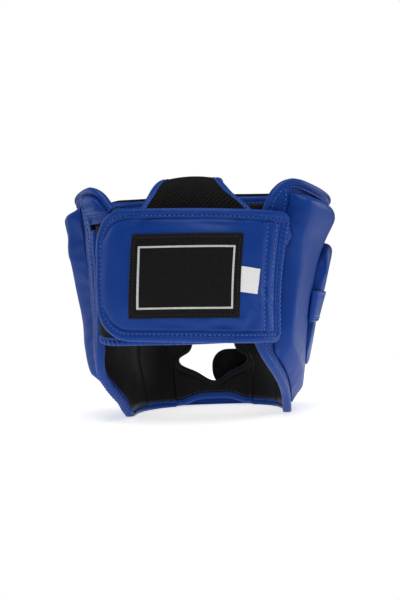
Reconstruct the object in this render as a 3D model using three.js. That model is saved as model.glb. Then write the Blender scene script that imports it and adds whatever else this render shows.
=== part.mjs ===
// Open-face sparring headgear: padded shell, air-mesh crown and a hook-and-loop back strap.
// Millimetres. +X is the wearer's right, +Y the way the wearer faces, +Z up.
// The origin lies under the middle of the headgear, on the surface that its lower rim rests on.
// Most pieces are patches of one shell surface: a place on it is an angle round the head
// (0 at the right ear, 90 at the brow, -90 at the nape), a height, and an offset outwards.

import * as THREE from 'three';

// Driving dimensions
const GAP = 0.3;
const LAYER_GAP = 0.7;
const PANEL_THICK = 5;
const PAD_THICK = { forehead: 20, cheek: 11, chin: 9 };
const EAR_PAD_THICK = { right: 8, left: 4.5 };
const BAND_THICK = 3;
const TAIL_THICK = 3;
const BINDING = { width: 6, thick: 7 };
const STRAP = { from: -132, to: -47, low: 62, high: 159, corner: 20, seat: 1.8, thick: 9, rim: 0.75 };
const LABEL = { left: -42, right: 32.5, low: 80.5, high: 141.5, thick: 0.8, columns: 10 };
const TAG = { left: 33, right: 44.5, low: 98, high: 117, thick: 0.5, columns: 3 };
const BINDING_PROUD = (BINDING.thick - PANEL_THICK) / 2;
const CROWN_THICK = 4;
const CROWN_ARCH = 0.0053;
const CROWN_BEAD = 1;
const PAD_RIM = 0.55;
const SQUARENESS = 2.6;
const NAPE = -90;
const NOSE = 90;

// The shell's outline at a few heights: half width at the ears, reach to the front and to the nape.
const SHELL_SECTIONS = [
  { z: -10, halfWidth: 65, front: 92, back: 100 },
  { z: 20, halfWidth: 67, front: 95, back: 106 },
  { z: 60, halfWidth: 69.5, front: 95, back: 108 },
  { z: 100, halfWidth: 74, front: 95, back: 108 },
  { z: 140, halfWidth: 85, front: 98, back: 107 },
  { z: 165, halfWidth: 97, front: 101, back: 104 },
  { z: 190, halfWidth: 106, front: 102, back: 101 },
];

// How far the open left side stands out at the back, where the strap holds it, and at the ear,
// and the angles back from the right ear between which it does so.
const LEFT_FLARE = [
  { z: 0, out: 1 },
  { z: 20, out: 7 },
  { z: 40, out: 11.5 },
  { z: 66, out: 14.5 },
  { z: 100, out: 13.7 },
  { z: 128, out: 7.6 },
  { z: 150, out: 0.6 },
  { z: 175, out: 0 },
];
const LEFT_LEAN = [
  { z: 0, out: 0 },
  { z: 25, out: 3.3 },
  { z: 45, out: 5.6 },
  { z: 60, out: 4.4 },
  { z: 80, out: 2 },
  { z: 120, out: 1.5 },
  { z: 140, out: 3 },
  { z: 152, out: 2 },
  { z: 165, out: -1.5 },
  { z: 180, out: -4.5 },
];
const FLARES = [
  { rows: LEFT_FLARE, start: 95, full: 135, hold: 147, end: 178 },
  { rows: LEFT_LEAN, start: 110, full: 150, hold: 205, end: 250 },
];

// How far the lower rim is pressed flat by the weight on it.
const REST_PRESS = 2;

// Thickness of the side pads, which taper towards the jaw.
const SIDE_PAD = [
  { z: 0, right: 8, left: 8 },
  { z: 40, right: 11, left: 12.5 },
  { z: 70, right: 12.6, left: 16 },
  { z: 100, right: 14, left: 19 },
  { z: 130, right: 14.7, left: 17 },
  { z: 150, right: 17, left: 15 },
  { z: 180, right: 16.9, left: 15 },
];

// Rear edges of the side pads as angles from the ear; they lean back towards the top.
// A slope rises from each rear edge to a ridge, where the pad has its whole thickness.
const PAD_REAR = [
  { z: 20, right: -37, rightRidge: -25, left: -20, leftRidge: -14 },
  { z: 70, right: -40, rightRidge: -27, left: -21, leftRidge: -15 },
  { z: 128, right: -41.5, rightRidge: -33, left: -23, leftRidge: -17 },
  { z: 170, right: -45.5, rightRidge: -42, left: -28, leftRidge: -22 },
];
const PAD_LIP = 0.2;
const LEAN_PASSES = 8;

// Outer edges of the shell's panels, bindings included, from the rear to the front.
const RIGHT_TOP = [
  { angle: -57, z: 160.5 },
  { angle: -55.5, z: 170 },
  { angle: -52, z: 177 },
  { angle: -47, z: 180 },
  { angle: -42, z: 180 },
  { angle: -22, z: 176 },
  { angle: 0, z: 172.5 },
  { angle: 30, z: 175 },
  { angle: 89.8, z: 179.5 },
];
const LEFT_TOP = [
  { angle: -55, z: 163 },
  { angle: -50, z: 175 },
  { angle: -43, z: 180 },
  { angle: -24, z: 176.5 },
  { angle: 0, z: 173 },
  { angle: 30, z: 175 },
  { angle: 89.8, z: 179.5 },
];
const RIGHT_LOW = [
  { angle: -54.5, z: 64 },
  { angle: -48, z: 50 },
  { angle: -38, z: 36 },
  { angle: -20, z: 17 },
  { angle: 0, z: -REST_PRESS },
  { angle: 12, z: -REST_PRESS },
  { angle: 59.5, z: -REST_PRESS },
];
const LEFT_LOW = [
  { angle: -41.8, z: 148 },
  { angle: -43, z: 112 },
  { angle: -43, z: 90 },
  { angle: -41, z: 62 },
  { angle: -36, z: 44 },
  { angle: -25, z: 27 },
  { angle: -10, z: 10 },
  { angle: 2, z: -REST_PRESS },
  { angle: 14, z: -REST_PRESS },
  { angle: 59.5, z: -REST_PRESS },
];
const CHIN_LOW = [
  { angle: 60.8, z: 0 },
  { angle: 66, z: 0.5 },
  { angle: 78, z: 4.5 },
  { angle: 90, z: 5 },
  { angle: 102, z: 4.5 },
  { angle: 114, z: 0.5 },
  { angle: 119.2, z: 0 },
];

// The face opening, its binding included, from the middle of the chin round the right eye to the brow.
const FACE = [
  { angle: 90, z: 21 },
  { angle: 77, z: 29 },
  { angle: 66, z: 36 },
  { angle: 65, z: 40 },
  { angle: 73, z: 47 },
  { angle: 75, z: 54 },
  { angle: 72, z: 61 },
  { angle: 61, z: 69 },
  { angle: 50, z: 78 },
  { angle: 43, z: 92 },
  { angle: 46, z: 107 },
  { angle: 60, z: 116 },
  { angle: 90, z: 120 },
];
const FACE_SIDE_HEIGHT = 92;

// Where the panels and pads meet, as angles from the right ear.
const SEAM = { rear: -56, side: 34, chin: 60 };
const SEAM_GAP = 0.3;
const PAD_MARGIN = { low: 10, high: 11, face: 2, chin: 1.5 };
const LEFT_REAR = { panel: -38.6, tail: -136.2 };
const CHEEK_LOW = { panel: [5.4, 20], pad: [10, 14, 20, 28] };
const FLAP = { rear: -55, low: 152, bulge: 5, bulgeHeight: 168, bulgeSpread: 9 };
const EAR = { right: -13, left: -7, to: 27, low: 46, high: 138, corner: 24, waist: 0.45, waistReach: 17 };
const BAND = { right: -18, left: -12, to: 32, low: 73, high: 99 };
const TAIL = { low: 66, high: 150, seam: 1.2, rise: 1 };
const CHIN_TAB = { from: 47, to: 92, low: 15, high: 47, thick: 3, roundEnd: 14, ramp: 10 };

// The crown panel's middle line from the nape to the forehead, with the panel's width.
// It is soft, and leans a little to the left at the top.
const CROWN_LINE = [
  { x: -1, y: -104.1, z: 108, width: 60 },
  { x: -1, y: -103.9, z: 135, width: 66 },
  { x: 2.5, y: -95, z: 160, width: 90 },
  { x: -2.5, y: -70, z: 178, width: 64 },
  { x: -5.5, y: -30, z: 188, width: 51 },
  { x: -5, y: 10, z: 190, width: 50 },
  { x: -8, y: 55, z: 186, width: 42 },
  { x: -7, y: 88, z: 176, width: 48 },
  { x: -7, y: 94.4, z: 158, width: 48 },
];

// How many steps follow each edge, and the usual length of a degree on the shell.
const STEPS = { top: 28, low: 24, chin: 12, face: 48, strap: 44, crown: 20 };
const DEGREE = 1.6;

const BLUE = 0x1c3a86;
const BLACK = 0x0c0d0f;
const WHITE = 0xe9e9e6;
const FINISHES = {
  leatherette: { color: BLUE, roughness: 0.38, metalness: 0 },
  lining: { color: BLACK, roughness: 0.6, metalness: 0 },
  airMesh: { color: BLACK, roughness: 0.85, metalness: 0 },
  loopPile: { color: BLACK, roughness: 0.95, metalness: 0 },
  wovenLabel: { color: BLACK, roughness: 0.8, metalness: 0 },
  tagRibbon: { color: WHITE, roughness: 0.7, metalness: 0 },
};

// Smooth value of a table's column at a key, by cubic steps between its rows.
function tableValue(rows, keyName, column, key) {
  const last = rows.length - 1;
  let index = rows.findIndex((row) => row[keyName] > key) - 1;
  if (index === -2) index = last - 1;
  index = Math.max(0, index);
  const [before, start, end, after] = [-1, 0, 1, 2].map(
    (step) => rows[THREE.MathUtils.clamp(index + step, 0, last)],
  );
  const span = end[keyName] - start[keyName];
  const t = THREE.MathUtils.clamp((key - start[keyName]) / span, 0, 1);
  const slopeIn = (end[column] - before[column]) / (end[keyName] - before[keyName]);
  const slopeOut = (after[column] - start[column]) / (after[keyName] - start[keyName]);
  const held = start[column] * (1 + 2 * t) * (1 - t) ** 2 + end[column] * (3 - 2 * t) * t ** 2;
  return held + span * (slopeIn * t * (1 - t) ** 2 - slopeOut * (1 - t) * t ** 2);
}

// How far the left side's flares move the shell out at an angle and a height.
function flareAt(angle, z) {
  const back = angle > NOSE ? 360 - angle : -angle;
  return FLARES.reduce((total, { rows, start, full, hold, end }) => {
    const rise = THREE.MathUtils.smoothstep(back, start, full);
    const fall = THREE.MathUtils.smoothstep(back, hold, end);
    return total + rise * (1 - fall) * tableValue(rows, 'z', 'out', z);
  }, 0);
}

// Point of the shell's surface at an angle in degrees and a height.
function surfacePoint(angle, z) {
  const turn = THREE.MathUtils.degToRad(angle);
  const cosine = Math.cos(turn);
  const sine = Math.sin(turn);
  const spread = Math.abs(cosine) ** SQUARENESS + Math.abs(sine) ** SQUARENESS;
  const radius = spread ** (-1 / SQUARENESS);
  const reach = tableValue(SHELL_SECTIONS, 'z', sine > 0 ? 'front' : 'back', z);
  const halfWidth = tableValue(SHELL_SECTIONS, 'z', 'halfWidth', z);
  return new THREE.Vector3(halfWidth * cosine * radius - flareAt(angle, z), reach * sine * radius, z);
}

// Outward direction of the shell's surface.
function surfaceNormal(angle, z) {
  const step = 0.5;
  const around = surfacePoint(angle + step, z).sub(surfacePoint(angle - step, z));
  const upwards = surfacePoint(angle, z + step).sub(surfacePoint(angle, z - step));
  return around.cross(upwards).normalize();
}

// Point at an offset outwards from the shell's surface.
function shellPoint(angle, z, offset) {
  return surfacePoint(angle, z).addScaledVector(surfaceNormal(angle, z), offset);
}

// Millimetres along the shell for one degree of angle.
function degreeLength(angle, z) {
  return surfacePoint(angle + 0.5, z).distanceTo(surfacePoint(angle - 0.5, z));
}

// Angle that lies a distance along the shell from a start angle, at one height.
function angleAlong(start, distance, z) {
  const step = Math.sign(distance) * 0.25;
  let angle = start;
  let left = Math.abs(distance);
  while (left > 0) {
    left -= degreeLength(angle, z) * Math.abs(step);
    angle += step;
  }
  return angle;
}

// Smooth line through rows of angle and height, as evenly stepped places on the shell.
function edgeLine(rows, steps, closed = false) {
  const knots = rows.map((row) => new THREE.Vector3(row.angle * DEGREE, row.z, 0));
  const curve = new THREE.CatmullRomCurve3(knots, closed, 'centripetal');
  const places = curve.getSpacedPoints(steps).map((knot) => ({ angle: knot.x / DEGREE, z: knot.y }));
  return closed ? places.slice(0, -1) : places;
}

// The same line moved sideways on the shell, to its left.
function movedLine(line, distance, closed = false) {
  const count = line.length;
  return line.map((place, index) => {
    const before = line[closed ? (index + count - 1) % count : Math.max(index - 1, 0)];
    const after = line[closed ? (index + 1) % count : Math.min(index + 1, count - 1)];
    const scale = degreeLength(place.angle, place.z);
    const along = new THREE.Vector2((after.angle - before.angle) * scale, after.z - before.z);
    along.normalize();
    return { angle: place.angle - (distance * along.y) / scale, z: place.z + distance * along.x };
  });
}

// Height of an edge line at an angle, straight between its places.
function heightOn(line, angle) {
  const rising = line[line.length - 1].angle > line[0].angle;
  const places = rising ? line : [...line].reverse();
  const next = places.findIndex((place) => place.angle >= angle);
  if (next <= 0) return next === 0 ? places[0].z : places[places.length - 1].z;
  const [start, end] = [places[next - 1], places[next]];
  const share = (angle - start.angle) / (end.angle - start.angle || 1);
  return THREE.MathUtils.lerp(start.z, end.z, share);
}

// Angle of an edge line at a height, straight between its places.
function angleOn(line, z) {
  const next = line.findIndex((place) => place.z >= z);
  if (next <= 0) return line[next === 0 ? 0 : line.length - 1].angle;
  const [start, end] = [line[next - 1], line[next]];
  return THREE.MathUtils.lerp(start.angle, end.angle, (z - start.z) / (end.z - start.z));
}

// Steps from 0 to 1 that lie closer together at both ends.
function easedSteps(count) {
  return Array.from({ length: count + 1 }, (_, index) => 0.5 - 0.5 * Math.cos((Math.PI * index) / count));
}

// Even steps from 0 to 1.
function evenSteps(count) {
  return Array.from({ length: count + 1 }, (_, index) => index / count);
}

// Closed slab between an inner and an outer grid of points; point(s, t, layer) gives each of them.
function slab(alongSteps, acrossSteps, point) {
  const columns = alongSteps.length;
  const rows = acrossSteps.length;
  const positions = [];
  for (const layer of [0, 1]) {
    for (const s of alongSteps) {
      for (const t of acrossSteps) positions.push(...point(s, t, layer).toArray());
    }
  }
  const at = (layer, column, row) => (layer * columns + column) * rows + row;
  const indices = [];
  const quad = (a, b, c, d) => indices.push(a, b, c, a, c, d);
  for (let i = 0; i < columns - 1; i += 1) {
    for (let j = 0; j < rows - 1; j += 1) {
      quad(at(1, i, j), at(1, i + 1, j), at(1, i + 1, j + 1), at(1, i, j + 1));
      quad(at(0, i, j), at(0, i, j + 1), at(0, i + 1, j + 1), at(0, i + 1, j));
    }
    quad(at(0, i, 0), at(0, i + 1, 0), at(1, i + 1, 0), at(1, i, 0));
    quad(at(0, i, rows - 1), at(1, i, rows - 1), at(1, i + 1, rows - 1), at(0, i + 1, rows - 1));
  }
  for (let j = 0; j < rows - 1; j += 1) {
    quad(at(0, 0, j), at(1, 0, j), at(1, 0, j + 1), at(0, 0, j + 1));
    quad(at(0, columns - 1, j), at(0, columns - 1, j + 1), at(1, columns - 1, j + 1), at(1, columns - 1, j));
  }
  const geometry = new THREE.BufferGeometry();
  geometry.setAttribute('position', new THREE.Float32BufferAttribute(positions, 3));
  geometry.setIndex(indices);
  return geometry;
}

// How full a pad is at a share of its width: thin at the rim, level in the middle.
function fullness(share, rim) {
  const fromMiddle = Math.abs(2 * share - 1);
  return rim + (1 - rim) * (1 - fromMiddle ** 4) ** 0.5;
}

// An offset is a number, or a function of the place.
function offsetAt(offset, angle, z) {
  return typeof offset === 'function' ? offset(angle, z) : offset;
}

// Steps along a patch, with more of them where an edge line is steep.
function stepsAlong(from, to, spaced, edge) {
  const steep = edge.filter((place, index) => {
    const next = edge[Math.min(index + 1, edge.length - 1)];
    const before = edge[Math.max(index - 1, 0)];
    return Math.abs(next.z - before.z) > Math.abs(next.angle - before.angle) * DEGREE;
  });
  const shares = steep.map((place) => (place.angle - from) / (to - from));
  const steps = [...spaced, ...shares.filter((share) => share > 0 && share < 1)].sort((a, b) => a - b);
  return steps.filter((step, index) => index === 0 || step - steps[index - 1] > 1e-3);
}

// Angle of the same place on the wearer's left side.
function leftAngle(angle) {
  return 2 * NOSE - angle;
}

// Point of a patch's inner or outer layer; the outer one swells away from the rim.
function layerPoint(angle, z, layer, { inner, outer, swell, left }) {
  const seat = offsetAt(inner, angle, z);
  const rise = (offsetAt(outer, angle, z) - seat) * swell;
  return shellPoint(left ? leftAngle(angle) : angle, z, layer === 0 ? seat : seat + rise);
}

// Place at shares of a patch's width and height; its rear edge may lean, as an angle for each height.
function patchPlace(s, t, { from, to, low, high }) {
  const rearAt = typeof from === 'function' ? from : () => from;
  let angle = to;
  let z = THREE.MathUtils.lerp(low(to), high(to), t);
  for (let pass = 0; pass < LEAN_PASSES; pass += 1) {
    angle = THREE.MathUtils.lerp(rearAt(z), to, s);
    z = THREE.MathUtils.lerp(low(angle), high(angle), t);
  }
  return { angle, z };
}

// Patch of the shell between two angles and two edges, from one offset to another.
// On the left side it takes the angles that it would have on the right.
function patch({ from, to, low, high, columns, rows, rim = 1, even = false, edge = [], ...layers }) {
  const alongSteps = stepsAlong(from, to, even ? evenSteps(columns) : easedSteps(columns), edge);
  const acrossSteps = rim < 1 ? easedSteps(rows) : evenSteps(rows);
  return slab(alongSteps, acrossSteps, (s, t, layer) => {
    const { angle, z } = patchPlace(s, t, { from, to, low, high });
    return layerPoint(angle, z, layer, { ...layers, swell: fullness(s, rim) * fullness(t, rim) });
  });
}

// Patch between two heights, from one angle to an edge that turns back on itself.
function uprightPatch({ from, to, heights, columns, rim = 1, ...layers }) {
  const [low, high] = [heights[0], heights[heights.length - 1]];
  const acrossSteps = heights.map((z) => (z - low) / (high - low));
  return slab(easedSteps(columns), acrossSteps, (s, t, layer) => {
    const z = THREE.MathUtils.lerp(low, high, t);
    const angle = THREE.MathUtils.lerp(from, to(z), s);
    return layerPoint(angle, z, layer, { ...layers, swell: fullness(s, rim) * fullness(t, rim) });
  });
}

// Turns a closed geometry's faces outwards.
function facingOut(geometry) {
  const position = geometry.getAttribute('position');
  const index = geometry.getIndex().array;
  const [a, b, c] = [new THREE.Vector3(), new THREE.Vector3(), new THREE.Vector3()];
  let volume = 0;
  for (let i = 0; i < index.length; i += 3) {
    a.fromBufferAttribute(position, index[i]);
    b.fromBufferAttribute(position, index[i + 1]);
    c.fromBufferAttribute(position, index[i + 2]);
    volume += a.dot(b.cross(c));
  }
  if (volume < 0) geometry.setIndex(Array.from(index).reverse());
  return geometry;
}

// Folded binding along an edge line, with the bound panel to the line's left.
// It is pressed flat where it meets the surface that the headgear rests on.
function binding(line, { closed = false, left = false, middle = -PANEL_THICK / 2 } = {}) {
  const half = BINDING.thick / 2;
  const profile = [
    { offset: middle - half, beside: BINDING.width },
    { offset: middle - half * 0.85, beside: BINDING.width * 0.3 },
    { offset: middle - half * 0.4, beside: 0 },
    { offset: middle + half * 0.4, beside: 0 },
    { offset: middle + half * 0.85, beside: BINDING.width * 0.3 },
    { offset: middle + half, beside: BINDING.width },
  ];
  const sides = profile.length;
  const rings = profile.map(({ offset, beside }) =>
    movedLine(line, beside, closed).map(({ angle, z }) =>
      shellPoint(left ? leftAngle(angle) : angle, z, offset)),
  );
  const positions = [];
  line.forEach((_, step) => {
    rings.forEach((ring) => positions.push(ring[step].x, ring[step].y, Math.max(ring[step].z, 0)));
  });
  const indices = [];
  const spans = closed ? line.length : line.length - 1;
  for (let step = 0; step < spans; step += 1) {
    const next = (step + 1) % line.length;
    for (let side = 0; side < sides; side += 1) {
      const beyond = (side + 1) % sides;
      const [a, b] = [step * sides + side, step * sides + beyond];
      const [c, d] = [next * sides + beyond, next * sides + side];
      indices.push(a, b, c, a, c, d);
    }
  }
  if (!closed) {
    const end = (line.length - 1) * sides;
    for (let side = 1; side < sides - 1; side += 1) {
      indices.push(0, side + 1, side);
      indices.push(end, end + side, end + side + 1);
    }
  }
  const geometry = new THREE.BufferGeometry();
  geometry.setAttribute('position', new THREE.Float32BufferAttribute(positions, 3));
  geometry.setIndex(indices);
  return geometry;
}

// Low and high edges of a patch whose ends are rounded off.
function roundedEnds({ from, to, low, high, fromRadius = 0, toRadius = 0 }) {
  const scale = degreeLength((from + to) / 2, (low + high) / 2);
  const drop = (distance, radius) => {
    if (distance >= radius) return 0;
    return radius - Math.sqrt(radius ** 2 - (radius - Math.max(distance, 0)) ** 2);
  };
  const inset = (angle) =>
    drop((angle - from) * scale, fromRadius) + drop((to - angle) * scale, toRadius);
  return {
    low: (angle) => low + inset(angle),
    high: (angle) => high - inset(angle),
  };
}

// The edges of the shell, each with its bound panel on its left.
const rightTop = edgeLine(RIGHT_TOP, STEPS.top).reverse();
const leftTop = edgeLine(LEFT_TOP, STEPS.top).reverse();
const rightLow = edgeLine(RIGHT_LOW, STEPS.low);
const leftLow = edgeLine(LEFT_LOW, STEPS.low);
const chinLow = edgeLine(CHIN_LOW, STEPS.chin);
const faceLeft = FACE.slice(1, -1).reverse().map(({ angle, z }) => ({ angle: leftAngle(angle), z }));
const faceLoop = edgeLine([...FACE, ...faceLeft], STEPS.face, true);
const BOUND = BINDING.width + GAP;

// Edge of a panel or pad that stays a distance inside an edge of the shell.
function inside(line, distance) {
  const moved = movedLine(line, distance);
  return (angle) => heightOn(moved, angle);
}

// Edges of a panel or pad that stays a distance away from the face opening, on the right half.
function besideFace(distance) {
  const moved = movedLine(faceLoop, distance, true).filter((place) => place.angle < NOSE + SEAM_GAP);
  const corner = moved.findIndex((place, index) => index > 0 && place.angle > moved[index - 1].angle);
  const chin = moved.slice(0, corner);
  const beyond = moved.slice(corner - 1);
  const cheek = beyond.filter((place) => place.z < FACE_SIDE_HEIGHT);
  const brow = beyond.filter((place) => place.z >= FACE_SIDE_HEIGHT);
  const fold = (angle) => Math.min(angle, leftAngle(angle));
  const bothSides = (line) => [...line, ...line.map(({ angle, z }) => ({ angle: leftAngle(angle), z }))];
  const cornerHeight = cheek[0].z - GAP;
  return {
    chin: (angle) => Math.min(heightOn(chin, fold(angle)), cornerHeight),
    chinEdge: bothSides(chin),
    cheek: (z) => (z < cheek[0].z ? SEAM.chin - SEAM_GAP : angleOn(cheek, z)),
    cheekHeights: [cornerHeight, ...cheek.map((place) => place.z)],
    brow: (angle) => Math.max(heightOn(brow, fold(angle)), FACE_SIDE_HEIGHT + GAP / 2),
    browEdge: bothSides(brow),
  };
}

const headgear = new THREE.Group();

function addPiece(name, geometry, finish) {
  const mesh = new THREE.Mesh(facingOut(geometry), new THREE.MeshStandardMaterial(FINISHES[finish]));
  mesh.name = name;
  headgear.add(mesh);
}

// Panels of the shell, lined inside.
function addShellPanels() {
  const shared = { inner: -PANEL_THICK, outer: 0 };
  const face = besideFace(BOUND + 2 * GAP);
  const seam = SEAM_GAP / 2;
  const front = SEAM.side + seam;
  addPiece('side_panel_right', patch({
    ...shared,
    from: SEAM.rear,
    to: SEAM.side - seam,
    low: inside(rightLow, BOUND),
    high: inside(rightTop, BOUND),
    edge: [...movedLine(rightTop, BOUND), ...movedLine(rightLow, BOUND)],
    columns: 16,
    rows: 6,
  }), 'lining');
  addPiece('side_panel_left', patch({
    ...shared,
    left: true,
    from: LEFT_REAR.panel,
    to: SEAM.side - seam,
    low: inside(leftLow, BOUND),
    high: inside(leftTop, BOUND),
    columns: 14,
    rows: 8,
  }), 'lining');
  addPiece('forehead_panel', patch({
    ...shared,
    from: front,
    to: leftAngle(front),
    low: face.brow,
    high: (angle) => inside(rightTop, BOUND)(Math.min(angle, leftAngle(angle))),
    edge: face.browEdge,
    columns: 18,
    rows: 3,
  }), 'lining');
  const cheek = (left) => uprightPatch({
    ...shared,
    left,
    from: front,
    to: face.cheek,
    heights: [...CHEEK_LOW.panel, ...face.cheekHeights],
    columns: 5,
  });
  addPiece('cheek_panel_right', cheek(false), 'lining');
  addPiece('cheek_panel_left', cheek(true), 'lining');
  addPiece('chin_panel', patch({
    ...shared,
    from: SEAM.chin + seam,
    to: leftAngle(SEAM.chin + seam),
    low: inside(chinLow, BOUND),
    high: face.chin,
    edge: face.chinEdge,
    columns: 14,
    rows: 2,
    even: true,
  }), 'lining');
}

function sidePadThick(side, z) {
  return tableValue(SIDE_PAD, 'z', side, z);
}

// Share of a side pad's thickness at a place, which its rear slope brings down to a lip.
function sidePadShare(side, angle, z) {
  const rear = tableValue(PAD_REAR, 'z', side, z);
  const ridge = tableValue(PAD_REAR, 'z', `${side}Ridge`, z);
  return THREE.MathUtils.clamp((angle - rear) / (ridge - rear), PAD_LIP, 1);
}

// Foam pads on the outside of the shell.
function addPads() {
  const face = besideFace(BOUND + PAD_MARGIN.face);
  const seam = SEAM_GAP;
  const shared = { inner: LAYER_GAP, rim: PAD_RIM };
  const sidePad = (side, lowLine, topLine) => patch({
    ...shared,
    left: side === 'left',
    outer: (angle, z) => sidePadThick(side, z) * sidePadShare(side, angle, z),
    from: (z) => tableValue(PAD_REAR, 'z', side, z),
    to: SEAM.side - seam,
    low: inside(lowLine, PAD_MARGIN.low),
    high: inside(topLine, PAD_MARGIN.high),
    columns: 10,
    rows: 10,
  });
  addPiece('side_pad_right', sidePad('right', rightLow, rightTop), 'leatherette');
  addPiece('side_pad_left', sidePad('left', leftLow, leftTop), 'leatherette');
  addPiece('forehead_pad', patch({
    ...shared,
    outer: PAD_THICK.forehead,
    from: SEAM.side + seam,
    to: leftAngle(SEAM.side + seam),
    low: face.brow,
    high: (angle) => inside(rightTop, PAD_MARGIN.high)(Math.min(angle, leftAngle(angle))),
    edge: face.browEdge,
    columns: 20,
    rows: 6,
  }), 'leatherette');
  const cheekPad = (left) => uprightPatch({
    ...shared,
    left,
    outer: PAD_THICK.cheek,
    from: SEAM.side + seam,
    to: face.cheek,
    heights: [...CHEEK_LOW.pad, ...face.cheekHeights],
    columns: 7,
  });
  addPiece('cheek_pad_right', cheekPad(false), 'leatherette');
  addPiece('cheek_pad_left', cheekPad(true), 'leatherette');
  addPiece('chin_pad', patch({
    ...shared,
    inner: BINDING_PROUD + LAYER_GAP,
    outer: PAD_THICK.chin,
    from: SEAM.chin + seam,
    to: leftAngle(SEAM.chin + seam),
    low: () => PAD_MARGIN.chin,
    high: face.chin,
    edge: face.chinEdge,
    columns: 12,
    rows: 5,
  }), 'leatherette');
}

// Ear pad on a side pad, drawn in under a band that bridges it.
function addEar(side) {
  const left = side === 'left';
  const bandMiddle = (BAND.low + BAND.high) / 2;
  const seat = (angle, z) => sidePadThick(side, z) + LAYER_GAP;
  const padThick = (z) =>
    EAR_PAD_THICK[side] * (1 - EAR.waist * Math.exp(-(((z - bandMiddle) / EAR.waistReach) ** 4)));
  addPiece(`ear_pad_${side}`, patch({
    ...roundedEnds({ ...EAR, from: EAR[side], fromRadius: EAR.corner, toRadius: EAR.corner }),
    left,
    from: EAR[side],
    to: EAR.to,
    inner: seat,
    outer: (angle, z) => seat(angle, z) + padThick(z),
    columns: 8,
    rows: 8,
    rim: PAD_RIM,
  }), 'leatherette');
  const middle = (BAND[side] + BAND.to) / 2;
  const reach = (BAND.to - BAND[side]) / 2;
  const lift = (angle, z) => {
    const share = Math.min(Math.abs(angle - middle) / reach, 1);
    return seat(angle, z) + LAYER_GAP + padThick(z) * (1 - share ** 4) ** 0.5;
  };
  addPiece(`ear_band_${side}`, patch({
    left,
    from: BAND[side],
    to: BAND.to,
    low: () => BAND.low,
    high: () => BAND.high,
    inner: lift,
    outer: (angle, z) => lift(angle, z) + BAND_THICK,
    columns: 12,
    rows: 4,
  }), 'leatherette');
}

// Outline of the back strap from its sewn end along the top, round its free end and back below.
function strapOutline() {
  const middle = (STRAP.low + STRAP.high) / 2;
  const scale = degreeLength(STRAP.from, middle);
  const length = (STRAP.to - STRAP.from) * scale;
  const path = new THREE.Path();
  path.moveTo(length, STRAP.high);
  path.lineTo(STRAP.corner, STRAP.high);
  path.absarc(STRAP.corner, STRAP.high - STRAP.corner, STRAP.corner, Math.PI / 2, Math.PI, false);
  path.lineTo(0, STRAP.low + STRAP.corner);
  path.absarc(STRAP.corner, STRAP.low + STRAP.corner, STRAP.corner, Math.PI, Math.PI * 1.5, false);
  path.lineTo(length, STRAP.low);
  return path.getSpacedPoints(STEPS.strap).map(({ x, y }) => ({ angle: STRAP.from + x / scale, z: y }));
}

// How far the padded strap's face stands out from the shell.
function strapRise(angle, z) {
  const along = THREE.MathUtils.clamp((angle - STRAP.from) / (STRAP.to - STRAP.from), 0, 1);
  const across = THREE.MathUtils.clamp((z - STRAP.low) / (STRAP.high - STRAP.low), 0, 1);
  return STRAP.seat + STRAP.thick * fullness(along, STRAP.rim) * fullness(across, STRAP.rim);
}

// Back strap with its binding, label and tag, the tail under it and the flap that it closes on.
function addBackStrap() {
  const outline = strapOutline();
  const body = movedLine(outline, BOUND);
  const middle = (STRAP.low + STRAP.high) / 2;
  const upper = body.filter((place) => place.z > middle);
  const lower = body.filter((place) => place.z <= middle);
  addPiece('back_strap', patch({
    from: Math.min(...body.map((place) => place.angle)),
    to: STRAP.to,
    low: (angle) => heightOn(lower, angle),
    high: (angle) => heightOn(upper, angle),
    inner: STRAP.seat,
    outer: strapRise,
    columns: 22,
    rows: 7,
  }), 'leatherette');
  addPiece('strap_binding', binding(outline, { middle: STRAP.seat + BINDING.thick / 2 }), 'leatherette');
  const onStrap = ({ left, right, low, high, thick, columns }) => patch({
    from: angleAlong(NAPE, left, middle),
    to: angleAlong(NAPE, right, middle),
    low: () => low,
    high: () => high,
    inner: (angle, z) => strapRise(angle, z) + GAP,
    outer: (angle, z) => strapRise(angle, z) + GAP + thick,
    columns,
    rows: 4,
    even: true,
  });
  addPiece('strap_label', onStrap(LABEL), 'wovenLabel');
  addPiece('size_tag', onStrap(TAG), 'tagRibbon');
  addPiece('loop_tail', patch({
    from: LEFT_REAR.tail,
    to: SEAM.rear - TAIL.seam,
    low: () => TAIL.low,
    high: () => TAIL.high,
    inner: TAIL.rise - TAIL_THICK,
    outer: TAIL.rise,
    columns: 14,
    rows: 2,
    even: true,
  }), 'loopPile');
  const bulge = (angle, z) => FLAP.bulge * Math.exp(-(((z - FLAP.bulgeHeight) / FLAP.bulgeSpread) ** 4));
  addPiece('rear_flap_left', patch({
    left: true,
    from: FLAP.rear,
    to: LEFT_REAR.panel - SEAM_GAP,
    low: () => FLAP.low,
    high: inside(leftTop, BOUND),
    edge: movedLine(leftTop, BOUND),
    inner: -PANEL_THICK,
    outer: bulge,
    columns: 8,
    rows: 6,
  }), 'leatherette');
}

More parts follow.
